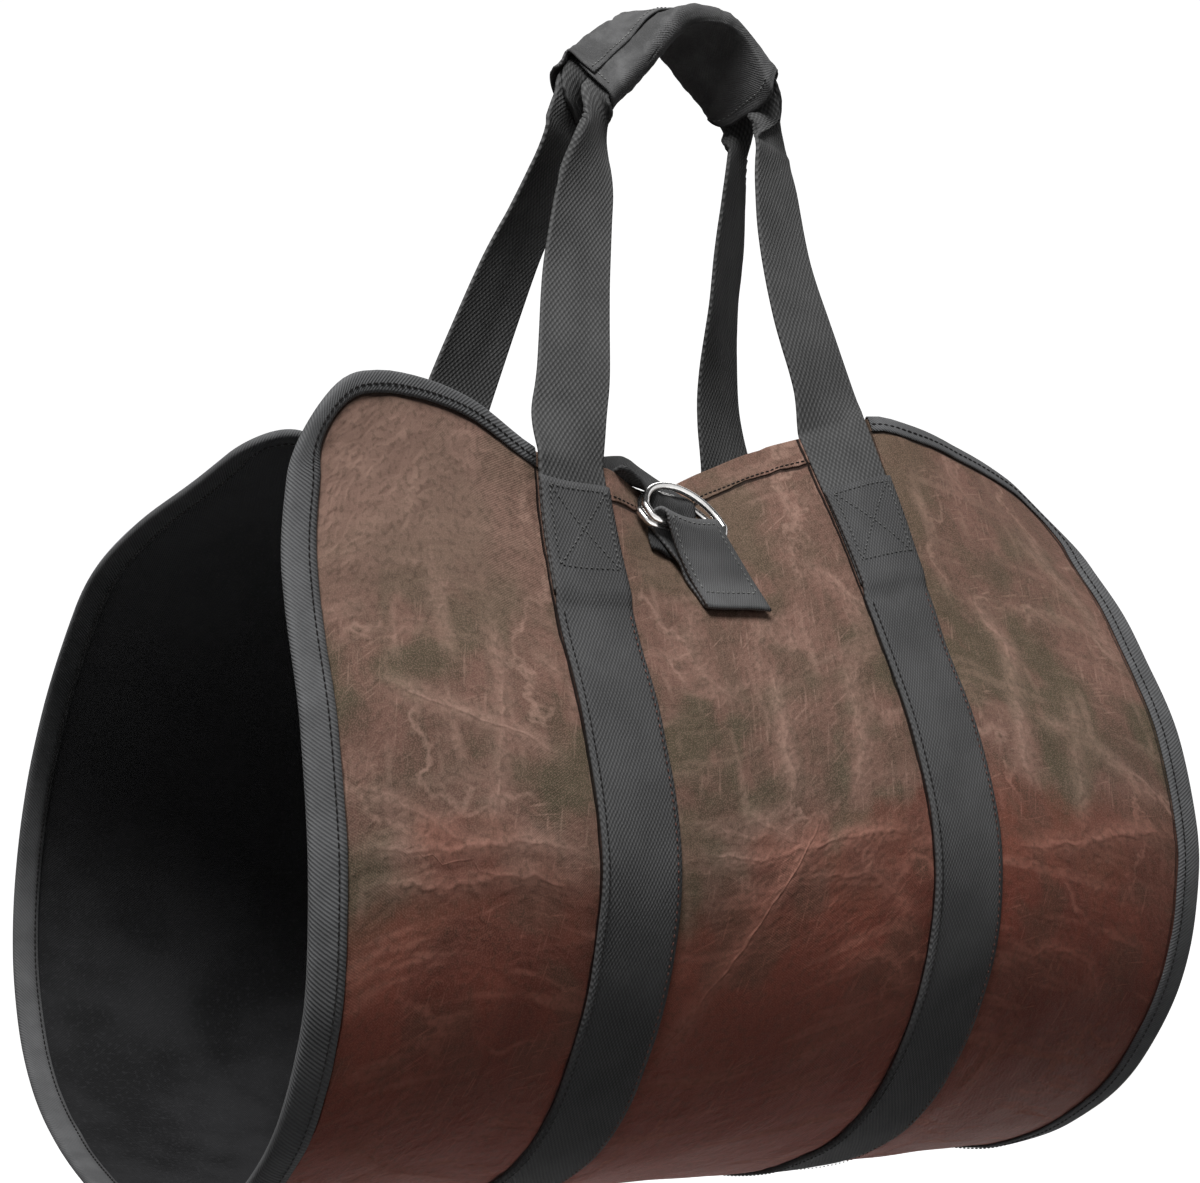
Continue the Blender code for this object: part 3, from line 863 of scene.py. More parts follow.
def grip_cloth(looks):
    f = Finish("grip cloth")
    u, v, where = f.cloth()
    weave = f.weave(u, v, 0.0012, 0.0012)
    cloud = f.noise(where, 38.0, 4.0, 0.6, 0.5)
    fuzz = f.noise(where, 1300.0, 2.0, 0.6)
    folds = f.noise(f.vector(u * 30.0, v * 150.0), 1.0, 3.0, 0.5)
    worn = f.step(f.noise(where, 85.0, 3.0, 0.6), 0.52, 0.72)
    color = looks.grip
    base = f.mix(f.step(cloud, 0.3, 0.7), scaled(color, 0.72), scaled(color, 1.2))
    base = f.mix(worn * 0.30, base, scaled(color, 1.7))
    base = f.mix(f.step(fuzz, 0.50, 0.80) * 0.35, base, scaled(color, 1.9))
    height = weave * 0.25 + fuzz * 0.5 + cloud * 1.4 + folds * 1.0
    return f.finish(base, 0.86, height, 0.0007, Specular_IOR_Level=0.05, Sheen_Weight=0.05)


def thread(color, name):
    f = Finish(name)
    where = f.position()
    twist = f.noise(where, 1800.0, 0.0, 0.5, 0.0, "3D")
    base = f.mix(f.step(twist, 0.35, 0.65), scaled(color, 0.6), scaled(color, 1.7))
    return f.finish(base, 0.60 + twist * 0.2, Specular_IOR_Level=0.12)


def nickel(looks):
    f = Finish("nickel plate")
    where = f.position()
    smudge = f.noise(where, 160.0, 3.0, 0.6, 0.0, "3D")
    pits = f.noise(where, 900.0, 1.0, 0.6, 0.0, "3D")
    base = f.mix(f.step(smudge, 0.35, 0.70), four(looks.nickel), scaled(looks.nickel, 0.80))
    roughness = 0.13 + smudge * 0.14
    return f.finish(base, roughness, smudge * 0.6 + pits * 0.2, 0.0001, Metallic=1.0)


def stitch_tree():
    """Geometry nodes that lay one thread stitch on every point of a mesh."""
    tree = bpy.data.node_groups.new("stitches", "GeometryNodeTree")
    face = tree.interface
    face.new_socket("Geometry", in_out="INPUT", socket_type="NodeSocketGeometry")
    for name, value in (("Length", 0.0027), ("Width", 0.0009), ("Height", 0.0007)):
        socket = face.new_socket(name, in_out="INPUT", socket_type="NodeSocketFloat")
        socket.default_value = value
    face.new_socket("Material", in_out="INPUT", socket_type="NodeSocketMaterial")
    face.new_socket("Geometry", in_out="OUTPUT", socket_type="NodeSocketGeometry")

    def node(kind, **values):
        """A node with these inputs, each a plain value or the output that feeds it."""
        made = tree.nodes.new(kind)
        for name, value in values.items():
            if isinstance(value, bpy.types.NodeSocket):
                tree.links.new(value, made.inputs[name])
            else:
                made.inputs[name].default_value = value
        return made

    given = node("NodeGroupInput").outputs
    bead = node("GeometryNodeMeshUVSphere", Segments=6, Rings=4, Radius=0.5)
    smooth = node("GeometryNodeSetShadeSmooth", Geometry=bead.outputs["Mesh"])
    size = node("ShaderNodeCombineXYZ", X=given["Length"], Y=given["Width"], Z=given["Height"])
    turn = node("FunctionNodeAxesToRotation")
    turn.primary_axis = "X"
    turn.secondary_axis = "Z"
    for name, socket in (("along", "Primary Axis"), ("facing", "Secondary Axis")):
        read = node("GeometryNodeInputNamedAttribute")
        read.data_type = "FLOAT_VECTOR"
        read.inputs["Name"].default_value = name
        tree.links.new(read.outputs["Attribute"], turn.inputs[socket])
    lay = node(
        "GeometryNodeInstanceOnPoints",
        Points=given["Geometry"],
        Instance=smooth.outputs["Geometry"],
        Rotation=turn.outputs["Rotation"],
        Scale=size.outputs[0],
    )
    real = node("GeometryNodeRealizeInstances", Geometry=lay.outputs["Instances"])
    stuff = node(
        "GeometryNodeSetMaterial", Geometry=real.outputs["Geometry"], Material=given["Material"]
    )
    node("NodeGroupOutput", Geometry=stuff.outputs["Geometry"])
    return tree


class Seam:
    """Rows of stitches, gathered before their thread is laid."""

    def __init__(self):
        self.points = []
        self.along = []
        self.facing = []

    def run(self, path, pitch):
        """path is a list of (point, direction away from the cloth)."""
        left = pitch / 2.0
        for (a, n), (b, _) in zip(path, path[1:]):
            step = b - a
            size = step.length
            if size < 1e-7:
                continue
            while left <= size:
                self.points.append(a + step * (left / size))
                self.along.append(step / size)
                self.facing.append(n)
                left += pitch
            left -= size

    def sew(self, name, length, width, stuff):
        clear(name)
        mesh = bpy.data.meshes.new(name + " points")
        mesh.from_pydata([tuple(p) for p in self.points], [], [])
        for key, rows in (("along", self.along), ("facing", self.facing)):
            data = mesh.attributes.new(key, "FLOAT_VECTOR", "POINT")
            data.data.foreach_set("vector", np.array([tuple(r) for r in rows], np.float32).ravel())
        obj = bpy.data.objects.new(name, mesh)
        bpy.context.scene.collection.objects.link(obj)
        tree = stitch_tree()
        laid = obj.modifiers.new("stitches", "NODES")
        laid.node_group = tree
        given = {s.name: s.identifier for s in tree.interface.items_tree if s.in_out == "INPUT"}
        laid[given["Length"]] = length
        laid[given["Width"]] = width
        laid[given["Height"]] = width * 0.8
        laid[given["Material"]] = stuff
        bpy.context.view_layer.update()
        graph = bpy.context.evaluated_depsgraph_get()
        done = bpy.data.meshes.new_from_object(obj.evaluated_get(graph), depsgraph=graph)
        obj.modifiers.clear()
        obj.data = done
        obj.data.materials.clear()
        obj.data.materials.append(stuff)
        bpy.data.node_groups.remove(tree)
        return obj


def crease_field(places, group):
    """For each place on the flat cloth: signed distance, strength and soft glow."""
    count = len(places)
    best = np.full(count, 9.0)
    signed = np.full(count, 0.05)
    strength = np.zeros(count)
    lift = np.zeros(count)
    for width, height, power, *line in group:
        width, height, power = width * TENTH, height * TENTH, power * CENT
        pts = np.array(line) * MM
        runs = np.hypot(*(pts[1:] - pts[:-1]).T)
        total = runs.sum()
        so_far = 0.0
        for a, b, run in zip(pts, pts[1:], runs):
            way = (b - a) / run
            rel = places - a
            t = np.clip(rel @ way, 0.0, run)
            off = rel - t[:, None] * way
            d = np.hypot(off[:, 0], off[:, 1])
            sign = np.sign(way[0] * rel[:, 1] - way[1] * rel[:, 0])
            s = (so_far + t) / total
            fade = np.clip(np.minimum(s, 1.0 - s) / 0.22, 0.0, 1.0)
            fade = fade * fade * (3.0 - 2.0 * fade)
            near = d < best
            best[near] = d[near]
            signed[near] = (sign * d * (0.0010 / width))[near]
            strength[near] = (power * fade)[near]
            lift[near] = (height * fade)[near]
            so_far += run
    far = np.clip((0.015 - best) / 0.006, 0.0, 1.0)
    soft = np.exp(-((best / 0.0050) ** 2)) * strength
    return signed, strength * far, soft, lift * np.exp(-((best / 0.0028) ** 2))


def sheet_rows(s):
    """Distances of the sheet's rows from its front edge, closer together at the hems."""
    hem = (0.0, 0.0006, 0.0018, 0.0040, 0.0075, 0.0110, 0.0140, 0.0156, 0.0164, 0.0176, 0.0200)
    rows = list(hem)
    count = round((s.length - 2.0 * hem[-1]) / 0.0040)
    for k in range(1, count):
        rows.append(hem[-1] + (s.length - 2.0 * hem[-1]) * k / count)
    return rows + [s.length - v for v in reversed(hem)]


def sheet_columns(s, v):
    """Columns of the sheet at v; the outer ones close up round the corners."""
    half = s.width / 2.0
    inner = half - s.corner
    edge = s.half_width(v)
    count = 114
    out = []
    for k in range(count + 1):
        u = -half + s.width * k / count
        if abs(u) > inner:
            share = (abs(u) - inner) / (half - inner)
            u = math.copysign(blend(inner, edge, share), u)
        out.append(u)
    return out


def hem_height(s, u, v):
    """The turned hem between the straps, doubled cloth at both top edges."""
    inside = min(v, s.length - v)
    limit = s.spacing / 2.0 - s.strap / 2.0
    if abs(u) > limit + 0.004 or inside > 0.0176:
        return 0.0
    ends = ease((limit + 0.004 - abs(u)) / 0.004)
    step = 1.0 - ease((inside - 0.0154) / 0.0018)
    dip = 0.35 * math.exp(-(((inside - 0.0135) / 0.0012) ** 2))
    return 0.0011 * ends * (step - dip)


def pucker(s, u, v):
    """Small gathers beside each strap's stitching and beside the binding."""
    h = 0.0
    for side in ("left", "right"):
        d = abs(u - s.strap_middle(side)) - s.strap / 2.0
        if d < 0.0:
            return -0.0002
        if d < 0.022:
            wave = noise.noise(Vector((v * 95.0, 5.0 if side == "left" else 9.0, u * 12.0)))
            h += 0.0013 * wave * math.exp(-d / 0.008) * ease(d / 0.004)
            h += 0.0009 * ease(d / 0.006) * math.exp(-d / 0.020)
    d = s.width / 2.0 - abs(u) - s.binding
    if 0.0 < d < 0.025:
        wave = noise.noise(Vector((v * 90.0, 2.0, u * 9.0)))
        h += 0.0011 * wave * math.exp(-d / 0.009) * ease(d / 0.004)
    return h


# Broad patches of tone: scale of the noise and its place, for each of two fields.
TONES = ((20.0, 1.5), (27.0, 6.5))
# Finer and finer noise in each field: share, scale and place.
OCTAVES = ((1.0, 1.0, 0.0), (0.55, 2.1, 1.0), (0.30, 4.3, 2.0))


def patch_tones(places):
    """Two fields of broad patches, around 0.5, at places of the flat cloth."""
    tones = np.zeros((len(places), 3))
    for i, (u, v) in enumerate(places):
        for column, (scale, seed) in enumerate(TONES):
            h = 0.0
            for share, finer, step in OCTAVES:
                size = scale * finer
                h += share * noise.noise(Vector((u * size, v * size, seed + step)))
            tones[i, column] = 0.5 + 0.37 * h
    return tones


class BAG_OT_canvas(bpy.types.Operator):
    """Make the waxed canvas sheet with its hems, dents, gathers and creases"""

    bl_idname = "firewood_bag.canvas"
    bl_label = "Canvas sheet"

    def execute(self, context):
        s = surface(context)
        looks = context.scene.bag_looks
        uvs = [[(u, v) for u in sheet_columns(s, v)] for v in sheet_rows(s)]
        places = np.array([place for row in uvs for place in row])
        beside = np.abs(np.abs(places[:, 0]) - s.spacing / 2.0) - s.strap / 2.0
        beside = np.minimum(beside, s.width / 2.0 - s.binding - np.abs(places[:, 0]))
        inner = np.clip(beside / 0.006, 0.0, 1.0)
        fields = {"tone": patch_tones(places)}
        lift = np.zeros(len(places))
        for name, group in CREASES.items():
            signed, strength, soft, raised = crease_field(places, group)
            fields[name] = np.stack([signed, strength, soft], axis=1)
            lift = np.maximum(lift, raised)
        lift = (lift * inner * 0.5).reshape(len(uvs), -1)
        points = []
        for row, raised in zip(uvs, lift):
            line = []
            for (u, v), ridge in zip(row, raised):
                line.append(s.place(u, v, hem_height(s, u, v) + pucker(s, u, v) + ridge))
            points.append(line)
        stuffs = [canvas_outside(looks, s), canvas_inside(looks)]
        obj = woven("canvas", points, uvs, s.thickness, stuffs, offset=-1.0)
        for name, field in fields.items():
            data = obj.data.attributes.new(name, "FLOAT_VECTOR", "POINT")
            data.data.foreach_set("vector", field.astype(np.float32).ravel())
        face = obj.data.polygons[0].normal
        if face.dot(s.normal(*places[0])) < 0.0:
            obj.data.flip_normals()
        settle(obj, "canvas_sheet")
        return {"FINISHED"}


def band(s, v):
    """How wide the tape lies on the cloth; narrower along the front and back edges."""
    inside = min(v, s.length - v)
    return s.binding * (0.58 + 0.42 * ease((inside - 0.006) / 0.034))


def rim_path(s, sign):
    """The sheet's edge round one end: place on the cloth and direction inward."""
    start = (s.spacing + s.strap) / 2.0 + 0.001
    half = s.width / 2.0
    turn = half - s.corner
    marks = [(blend(start, turn, k / 14.0), 0.0) for k in range(14)]
    for k in range(17):
        a = math.pi / 2.0 * k / 16.0
        marks.append((turn + s.corner * math.sin(a), s.corner * (1.0 - math.cos(a))))
    count = 290
    for k in range(1, count):
        marks.append((half, blend(s.corner, s.length - s.corner, k / count)))
    other = [(u, s.length - v) for u, v in reversed(marks[:31])]
    marks += other
    out = []
    for i, (u, v) in enumerate(marks):
        before = marks[max(0, i - 1)]
        after = marks[min(len(marks) - 1, i + 1)]
        along_u = after[0] - before[0]
        along_v = after[1] - before[1]
        size = math.hypot(along_u, along_v)
        out.append((sign * u, v, -sign * along_v / size, along_u / size))
    return out


class BAG_OT_bindings(bpy.types.Operator):
    """Make the tape that is folded over both ends of the sheet"""

    bl_idname = "firewood_bag.bindings"
    bl_label = "Binding tape"

    def execute(self, context):
        s = surface(context)
        stuff = tape(context.scene.bag_looks)
        t = context.scene.bag_sizes.binding_thickness
        for side, sign in (("left", -1.0), ("right", 1.0)):
            gap = 0.0007
            level = gap + t / 2.0
            under = -s.thickness - gap - t / 2.0
            mid = (level + under) / 2.0
            bulge = (level - under) / 2.0
            rows = []
            uvs = []
            so_far = 0.0
            path = rim_path(s, sign)
            for i, (u, v, in_u, in_v) in enumerate(path):
                w = band(s, v) + 0.0008
                profile = [(w, level - 0.0003), (w * 0.8, level), (w * 0.5, level + 0.0002)]
                profile += [(w * 0.25, level + 0.0001), (0.0012, level)]
                for k in range(1, 8):
                    a = math.pi * k / 8.0
                    profile.append((0.0004 - 0.0019 * math.sin(a), mid + bulge * math.cos(a)))
                profile += [(0.0012, under), (w * 0.5, under), (w - 0.002, under)]
                if i:
                    so_far += math.hypot(u - path[i - 1][0], v - path[i - 1][1])
                wave = 0.0005 * noise.noise(Vector((so_far * 60.0, sign, 0.0)))
                row = []
                line = []
                across = 0.0
                for k, (inward, off) in enumerate(profile):
                    lift = wave * ease(inward / w)
                    row.append(s.place(u + in_u * inward, v + in_v * inward, off + lift))
                    if k:
                        across += math.hypot(inward - profile[k - 1][0], off - profile[k - 1][1])
                    line.append((across, so_far))
                rows.append(row)
                uvs.append(line)
            obj = woven(f"tape_{side}", rows, uvs, t, [stuff])
            settle(obj, f"binding_{side}")
        return {"FINISHED"}


def strap_profile(half, cells):
    """Across webbing: sideways, and how much its woven edges drop."""
    return [(half * b, -0.00035 * abs(b) ** 9) for b in spread(cells)]


class BAG_OT_straps(bpy.types.Operator):
    """Make the two webbing straps that run round the sheet"""

    bl_idname = "firewood_bag.straps"
    bl_label = "Body straps"

    def execute(self, context):
        s = surface(context)
        looks = context.scene.bag_looks
        stuff = webbing("strap webbing", looks.strap, 0.0017, 0.0030, 0.38, 0.00028)
        t = s.webbing
        low = LAY + t / 2.0
        high = 2.0 * LAY + 1.5 * t
        profile = strap_profile(s.strap / 2.0, STRAP_CELLS)
        for side in ("left", "right"):
            mid = s.strap_middle(side)
            front = FRONT_STARTS[side]
            back = BACK_STARTS[side]
            total = s.length - front - back
            count = 300
            rows = []
            uvs = []
            for k in range(count + 1):
                v = front + total * k / count
                end = min(v - front, s.length - back - v)
                raised = 1.0 - ease((end - OVERLAP) / 0.007)
                off = blend(low, high, raised)
                row = []
                for side_way, drop in profile:
                    sag = 0.0005 * noise.noise(Vector((side_way * 30.0, v * 45.0, mid * 50.0)))
                    rise = off + drop + sag * (1.0 - raised) + 0.0002
                    row.append(s.place(mid + side_way, v, rise))
                rows.append(row)
                uvs.append([(x, v) for x, _ in profile])
            obj = woven(f"webbing_{side}", rows, uvs, t, [stuff])
            settle(obj, f"strap_{side}")
        return {"FINISHED"}


def grip_frame(t):
    """Centre, direction, width direction, outward direction and scale at t, 0 to 1."""
    steps = (len(GRIP_LINE) - 1) * t
    here = through(GRIP_LINE, steps)
    after = through(GRIP_LINE, steps + 0.01)
    before = through(GRIP_LINE, steps - 0.01)
    along = (Vector(after[:3]) - Vector(before[:3])).normalized()
    width = Vector(here[3:6]).normalized()
    return free(*here[:3]), along, width, along.cross(width).normalized(), here[6]


def leg_row(station, half):
    x, y, z, turn, share = station
    angle = math.radians(turn)
    width = Vector((math.cos(angle), math.sin(angle), 0.0))
    return [free(x, y, z) + width * half * share * b for b in (-1.0, 0.0, 1.0)]


def inner_rows(rows, count):
    """Rows through all but the first and last given ones."""
    out = []
    for k in range(count + 1):
        t = 1.0 + (len(rows) - 3) * k / count
        out.append([Vector(through([r[j] for r in rows], t)) for j in range(len(rows[0]))])
    return out


def handle_rows(s, where):
    """Three points across one handle, from under the left strap to under the right one."""
    half = s.strap / 2.0
    low = LAY + s.webbing / 2.0
    starts = FRONT_STARTS if where == "front" else BACK_STARTS
    sewn = {}
    for side in ("left", "right"):
        reach = starts[side] + OVERLAP
        held = []
        for k in range(13):
            v = reach * k / 12.0
            v = v if where == "front" else s.length - v
            mid = s.strap_middle(side)
            held.append([s.place(mid + half * b, v, low) for b in (-1.0, 0.0, 1.0)])
        sewn[side] = list(reversed(held))
    sign = -1.0 if where == "front" else 1.0
    narrow = half * GRIP_SHARE
    beside = sign * (narrow + 0.0003)
    grip = []
    for k in range(15):
        centre, _, width, _, _ = grip_frame(k / 14.0)
        grip.append([centre + width * (beside + narrow * b) for b in (1.0, 0.0, -1.0)])
    left = inner_rows(
        [sewn["left"][-2], sewn["left"][-1]]
        + [leg_row(p, half) for p in LEGS[where, "left"]]
        + [grip[0], grip[1]],
        18,
    )
    right = inner_rows(
        [grip[-2], grip[-1]]
        + [leg_row(p, half) for p in reversed(LEGS[where, "right"])]
        + [sewn["right"][-1], sewn["right"][-2]],
        18,
    )
    rows = sewn["left"][:-1] + left + grip[1:-1] + right
    return rows + list(reversed(sewn["right"][:-1]))


def folded(share, half, cells, mirrored):
    """Sideways and upward across webbing with one edge folded flat under the rest."""
    bend = 0.13
    crease = -(1.0 + bend) + (0.94 + bend) * min(1.0, max(0.0, (1.0 - share) / 0.47))
    x = 0.0
    y = 0.0
    out = [(x, y)]
    for k in range(cells):
        t = 1.0 - 2.0 * (k + 0.5) / cells
        heading = math.radians(178.0) * ease((crease + bend - t) / (2.0 * bend))
        x -= math.cos(heading) * 2.0 * half / cells
        y += (-1.0 if mirrored else 1.0) * math.sin(heading) * 2.0 * half / cells
        out.append((x, y))
    xs = [p[0] for p in out]
    mid = (min(xs) + max(xs)) / 2.0
    drop = (min(p[1] for p in out) + max(p[1] for p in out)) / 2.0
    out = [(x - mid, y - drop) for x, y in reversed(out)]
    if mirrored:
        out = [(-x, y) for x, y in reversed(out)]
    return out


class BAG_OT_handles(bpy.types.Operator):
    """Make both webbing handles, folded together where they go into the grip"""

    bl_idname = "firewood_bag.handles"
    bl_label = "Handles"

    def execute(self, context):
        s = surface(context)
        looks = context.scene.bag_looks
        stuff = webbing("handle webbing", looks.handle, 0.0025, 0.0040, 0.48, 0.0004)
        half = s.strap / 2.0
        for where in ("front", "back"):
            rows = dense(handle_rows(s, where), 3)
            reach = lengths(rows)
            out = []
            uvs = []
            for i, row in enumerate(rows):
                before = rows[max(0, i - 1)][1]
                after = rows[min(len(rows) - 1, i + 1)][1]
                along = (after - before).normalized()
                width = row[2] - row[0]
                share = width.length / s.strap
                width.normalize()
                up = along.cross(width).normalized()
                line = []
                places = folded(share, half, HANDLE_CELLS, where == "back")
                for b, (x, y) in zip(spread(HANDLE_CELLS), places):
                    cup = -0.0003 * abs(b) ** 8
                    wave = 0.0006 * noise.noise(Vector((b * 1.5, reach[i] * 28.0, 4.0)))
                    free_part = ease((reach[i] - 0.070) / 0.03)
                    free_part *= ease((reach[-1] - reach[i] - 0.070) / 0.03)
                    line.append(row[1] + width * x + up * (y + cup + wave * free_part))
                out.append(line)
                uvs.append([(half * b, reach[i]) for b in spread(HANDLE_CELLS)])
            obj = woven(f"handle_{where}_webbing", out, uvs, s.webbing, [stuff])
            settle(obj, f"handle_{where}")
        return {"FINISHED"}


def grip_level(s, thickness):
    """From the middle of the wrap to the middle of its first layer."""
    return LAY + s.webbing * 2.0 + 0.0004 + thickness / 2.0


def grip_profile(s, sizes, edge, roll):
    """Across the wrap, once round both handles and lapped; roll curls one edge under."""
    w = sizes.grip_width
    t = sizes.grip_thickness
    level = grip_level(s, t)
    lap = level + t + LAY
    return (
        (0.14 * w, level, 0.0),
        (-0.20 * w, level, 0.0),
        (0.004 - edge, level, 0.0),
        (0.001 - edge, level * 0.7, 0.0),
        (-edge, 0.0, 0.0),
        (0.001 - edge, -level * 0.7, 0.0),
        (0.004 - edge, -level, 0.0),
        (0.0, -level, 0.001 * roll),
        (edge - 0.0110, -level - 0.0070 * roll, 0.006 * roll),
        (edge - 0.0045, -level - 0.0130 * roll, 0.009 * roll),
        (edge + 0.0010 * roll, -level * 0.65 - 0.0090 * roll, 0.010 * roll),
        (edge + 0.0006, 0.001 - 0.0030 * roll, 0.010 * roll),
        (edge - 0.001 - 0.0040 * roll, level * (1.0 - 0.6 * roll), 0.007 * roll),
        (edge - 0.005, lap, 0.0),
        (0.10 * w, lap, 0.0),
        (-0.10 * w, lap, 0.0),
    )


def grip_rows(s, sizes):
    """Points of the wrap, row by row along the grip, and their places on its cloth."""
    rows = []
    uvs = []
    for k in range(GRIP_CELLS + 1):
        t = k / GRIP_CELLS
        centre, along, width, out, scale = grip_frame(t)
        edge = sizes.grip_width / 2.0 * scale
        near = math.exp(-((t / 0.085) ** 2))
        far = math.exp(-(((1.0 - t) / 0.10) ** 2))
        profile = grip_profile(s, sizes, edge, near)
        row = []
        line = []
        around = 0.0
        before = None
        ends = math.exp(-t / 0.05) + math.exp(-(1.0 - t) / 0.05)
        for m in range((len(profile) - 1) * GRIP_STEPS + 1):
            b, c, tongue = through(profile, m / GRIP_STEPS)
            if before:
                around += math.hypot(b - before[0], c - before[1])
            before = (b, c)
            ripple = 0.0009 * noise.noise(Vector((around * 45.0, t * 9.0, 1.0)))
            ripple += 0.0007 * noise.noise(Vector((around * 60.0, t * 30.0, 6.0)))
            swell = ripple + 0.0008 * ends
            skew = 0.0030 * ends * noise.noise(Vector((around * 24.0, 3.0 * round(t), 2.0)))
            skew += far * (0.0015 - 0.0050 * b / edge - 0.0075 * abs(b / edge) ** 5)
            round_end = 1.0 + far * (0.9 - 1.1 * b / edge) * 0.7
            size = max(1e-6, math.hypot(b, c))
            row.append(
                centre
                + width * (b + swell * b / size * 0.6)
                + out * (c * round_end + swell * (1.0 if c > 0.0 else -1.0))
                + along * (skew - tongue)
            )
            line.append((around, t * GRIP_LENGTH))
        rows.append(row)
        uvs.append(line)
    return rows, uvs


class BAG_OT_grip(bpy.types.Operator):
    """Make the cloth wrap that joins the handles into one grip"""

    bl_idname = "firewood_bag.grip"
    bl_label = "Grip"

    def execute(self, context):
        s = surface(context)
        sizes = context.scene.bag_sizes
        stuff = grip_cloth(context.scene.bag_looks)
        rows, uvs = grip_rows(s, sizes)
        obj = woven("grip", rows, uvs, sizes.grip_thickness, [stuff])
        settle(obj, "grip_wrap")
        return {"FINISHED"}


def closure_rows(s, cells):
    """The closure strap from the back panel, over the gap, through the rings."""
    marks = spread(cells)
    off = 0.0004 + CLOSURE_THICKNESS / 2.0
    rows = []
    for k in range(6):
        v = s.length - CLOSURE_SEWN * (1.0 - k / 5.0)
        rows.append([s.place(CLOSURE_BACK + CLOSURE_HALF * b, v, off) for b in marks])
    over = [rows[-2], rows[-1]]
    for x, y, z, tilt in CLOSURE_LINE:
        row = []
        for b in marks:
            row.append(free(x + 0.0180 * b, y + tilt * b, z + tilt * b + 0.0016 * (1.0 - b * b)))
        over.append(row)
    front = []
    for v, off, u, slope, width in CLOSURE_FRONT:
        d = width / 2.0
        gather = max(0.0, (0.034 - width) / 0.007)
        row = []
        for b in marks:
            ripple = 0.0011 * gather * math.sin(b * 8.5 + v * 30.0)
            row.append(s.place(u + d * b, v + slope * d * b, off + ripple))
        front.append(row)
    over += front[:3]
    last = [2.0 * a - b for a, b in zip(front[-1], front[-2])]
    return rows[:-1] + inner_rows(over, 30) + inner_rows(front + [last], 36)[1:]


def tab_rows(s, cells):
    """The ring tab, from under its seam round the bars and back over itself."""
    rows = []
    for v, off, u, slope in TAB_LINE:
        v -= 0.0045 * ease((v - 0.045) / 0.035)
        u -= 0.0022 * ease((0.050 - v) / 0.015)
        slope += 0.05 * ease((v - 0.06) / 0.02) - 0.10 * ease((0.045 - v) / 0.012)
        sides = [b * TAB_HALF for b in spread(cells)]
        rows.append([s.place(u + d, v + slope * d, off + 0.0004) for d in sides])
    return dense(rows, 4)


class BAG_OT_closure(bpy.types.Operator):
    """Make the closure strap and the tab that holds the rings"""

    bl_idname = "firewood_bag.closure"
    bl_label = "Closure strap and ring tab"

    def execute(self, context):
        s = surface(context)
        looks = context.scene.bag_looks
        # Painted shade: the closure strap is a darker copy of the strap webbing, for the shadow it
        # lies in. The tab is a lighter webbing, made lighter still as painted light for its tilted
        # face.
        shaded_strap, bright = scaled(looks.strap, 0.62), scaled(looks.strap, 1.45)
        dark = webbing("closure webbing", shaded_strap, 0.0015, 0.0026, 0.30, 0.0003)
        light = webbing("tab webbing", bright, 0.0013, 0.0022, 0.26, 0.0002)
        for name, rows, node, stuff, half in (
            ("closure", closure_rows(s, 14), "closure_strap", dark, CLOSURE_HALF),
            ("ring_holder", tab_rows(s, TAB_CELLS), "ring_tab", light, 0.0175),
        ):
            reach = lengths(rows)
            uvs = [[(half * b, d) for b in spread(len(rows[0]) - 1)] for d in reach]
            obj = woven(name, rows, uvs, CLOSURE_THICKNESS, [stuff])
            settle(obj, node)
        return {"FINISHED"}


RING_AROUND = 16
RING_TURN = 0.0035  # bend radius where the bar meets the bow


def ring_line(sizes):
    """The middle of the wire, as places along the bar and out to the bow."""
    half = (sizes.ring_inside + sizes.ring_wire) / 2.0
    end = half - RING_TURN
    corners = [(x, 0.0) for x in (-end, -half * 0.5, 0.0, half * 0.5, end)]
    for k in range(1, 24):
        angle = math.pi * k / 24.0
        out = RING_TURN + (sizes.ring_height - RING_TURN) * math.sin(angle)
        corners.append((half * math.cos(angle), out))
    count = len(corners)
    corners = corners[-2:] + corners + corners[:3]
    return [through(corners, 2.0 + k / 4.0) for k in range(count * 4)]


class BAG_OT_rings(bpy.types.Operator):
    """Make the two nickel D-rings"""

    bl_idname = "firewood_bag.rings"
    bl_label = "D-rings"

    def execute(self, context):
        s = surface(context)
        sizes = context.scene.bag_sizes
        stuff = nickel(context.scene.bag_looks)
        wire = sizes.ring_wire / 2.0
        line = ring_line(sizes)
        turns = [2.0 * math.pi * m / RING_AROUND for m in range(RING_AROUND)]
        u = RING_MIDDLE
        d = 0.016
        for index, (v, off) in enumerate(RING_BARS):
            bar = s.place(u + d, v + 0.50 * d, off) - s.place(u - d, v - 0.50 * d, off)
            bar.normalize()
            centre = s.place(u, v, off)
            bow = s.place(u, v - sizes.ring_height, RING_ENDS[index]) - centre
            bow = (bow - bar * bow.dot(bar)).normalized()
            face = bar.cross(bow)
            points = []
            for k, (a, b) in enumerate(line):
                before = line[k - 1]
                after = line[(k + 1) % len(line)]
                way = Vector((after[0] - before[0], after[1] - before[1])).normalized()
                out = bar * way.y - bow * way.x
                middle = centre + bar * a + bow * b
                for t in turns:
                    points.append(middle + (out * math.cos(t) + face * math.sin(t)) * wire)
            faces = []
            for k in range(len(line)):
                p = k * RING_AROUND
                r = (k + 1) % len(line) * RING_AROUND
                for m in range(RING_AROUND):
                    q = (m + 1) % RING_AROUND
                    faces.append((p + m, p + q, r + q, r + m))
            obj = new_piece(f"ring_{index + 1}", points, faces, None, [stuff])
            settle(obj, f"d_ring_{index + 1}")
        return {"FINISHED"}


def on_cloth(s, marks, off, steps=24):
    """A path through marks (u, v) that far off the sheet, for stitches."""
    path = []
    for (u1, v1), (u2, v2) in zip(marks, marks[1:]):
        for k in range(steps + 1):
            u = blend(u1, u2, k / steps)
            v = blend(v1, v2, k / steps)
            path.append((s.place(u, v, off), s.normal(u, v)))
    return path


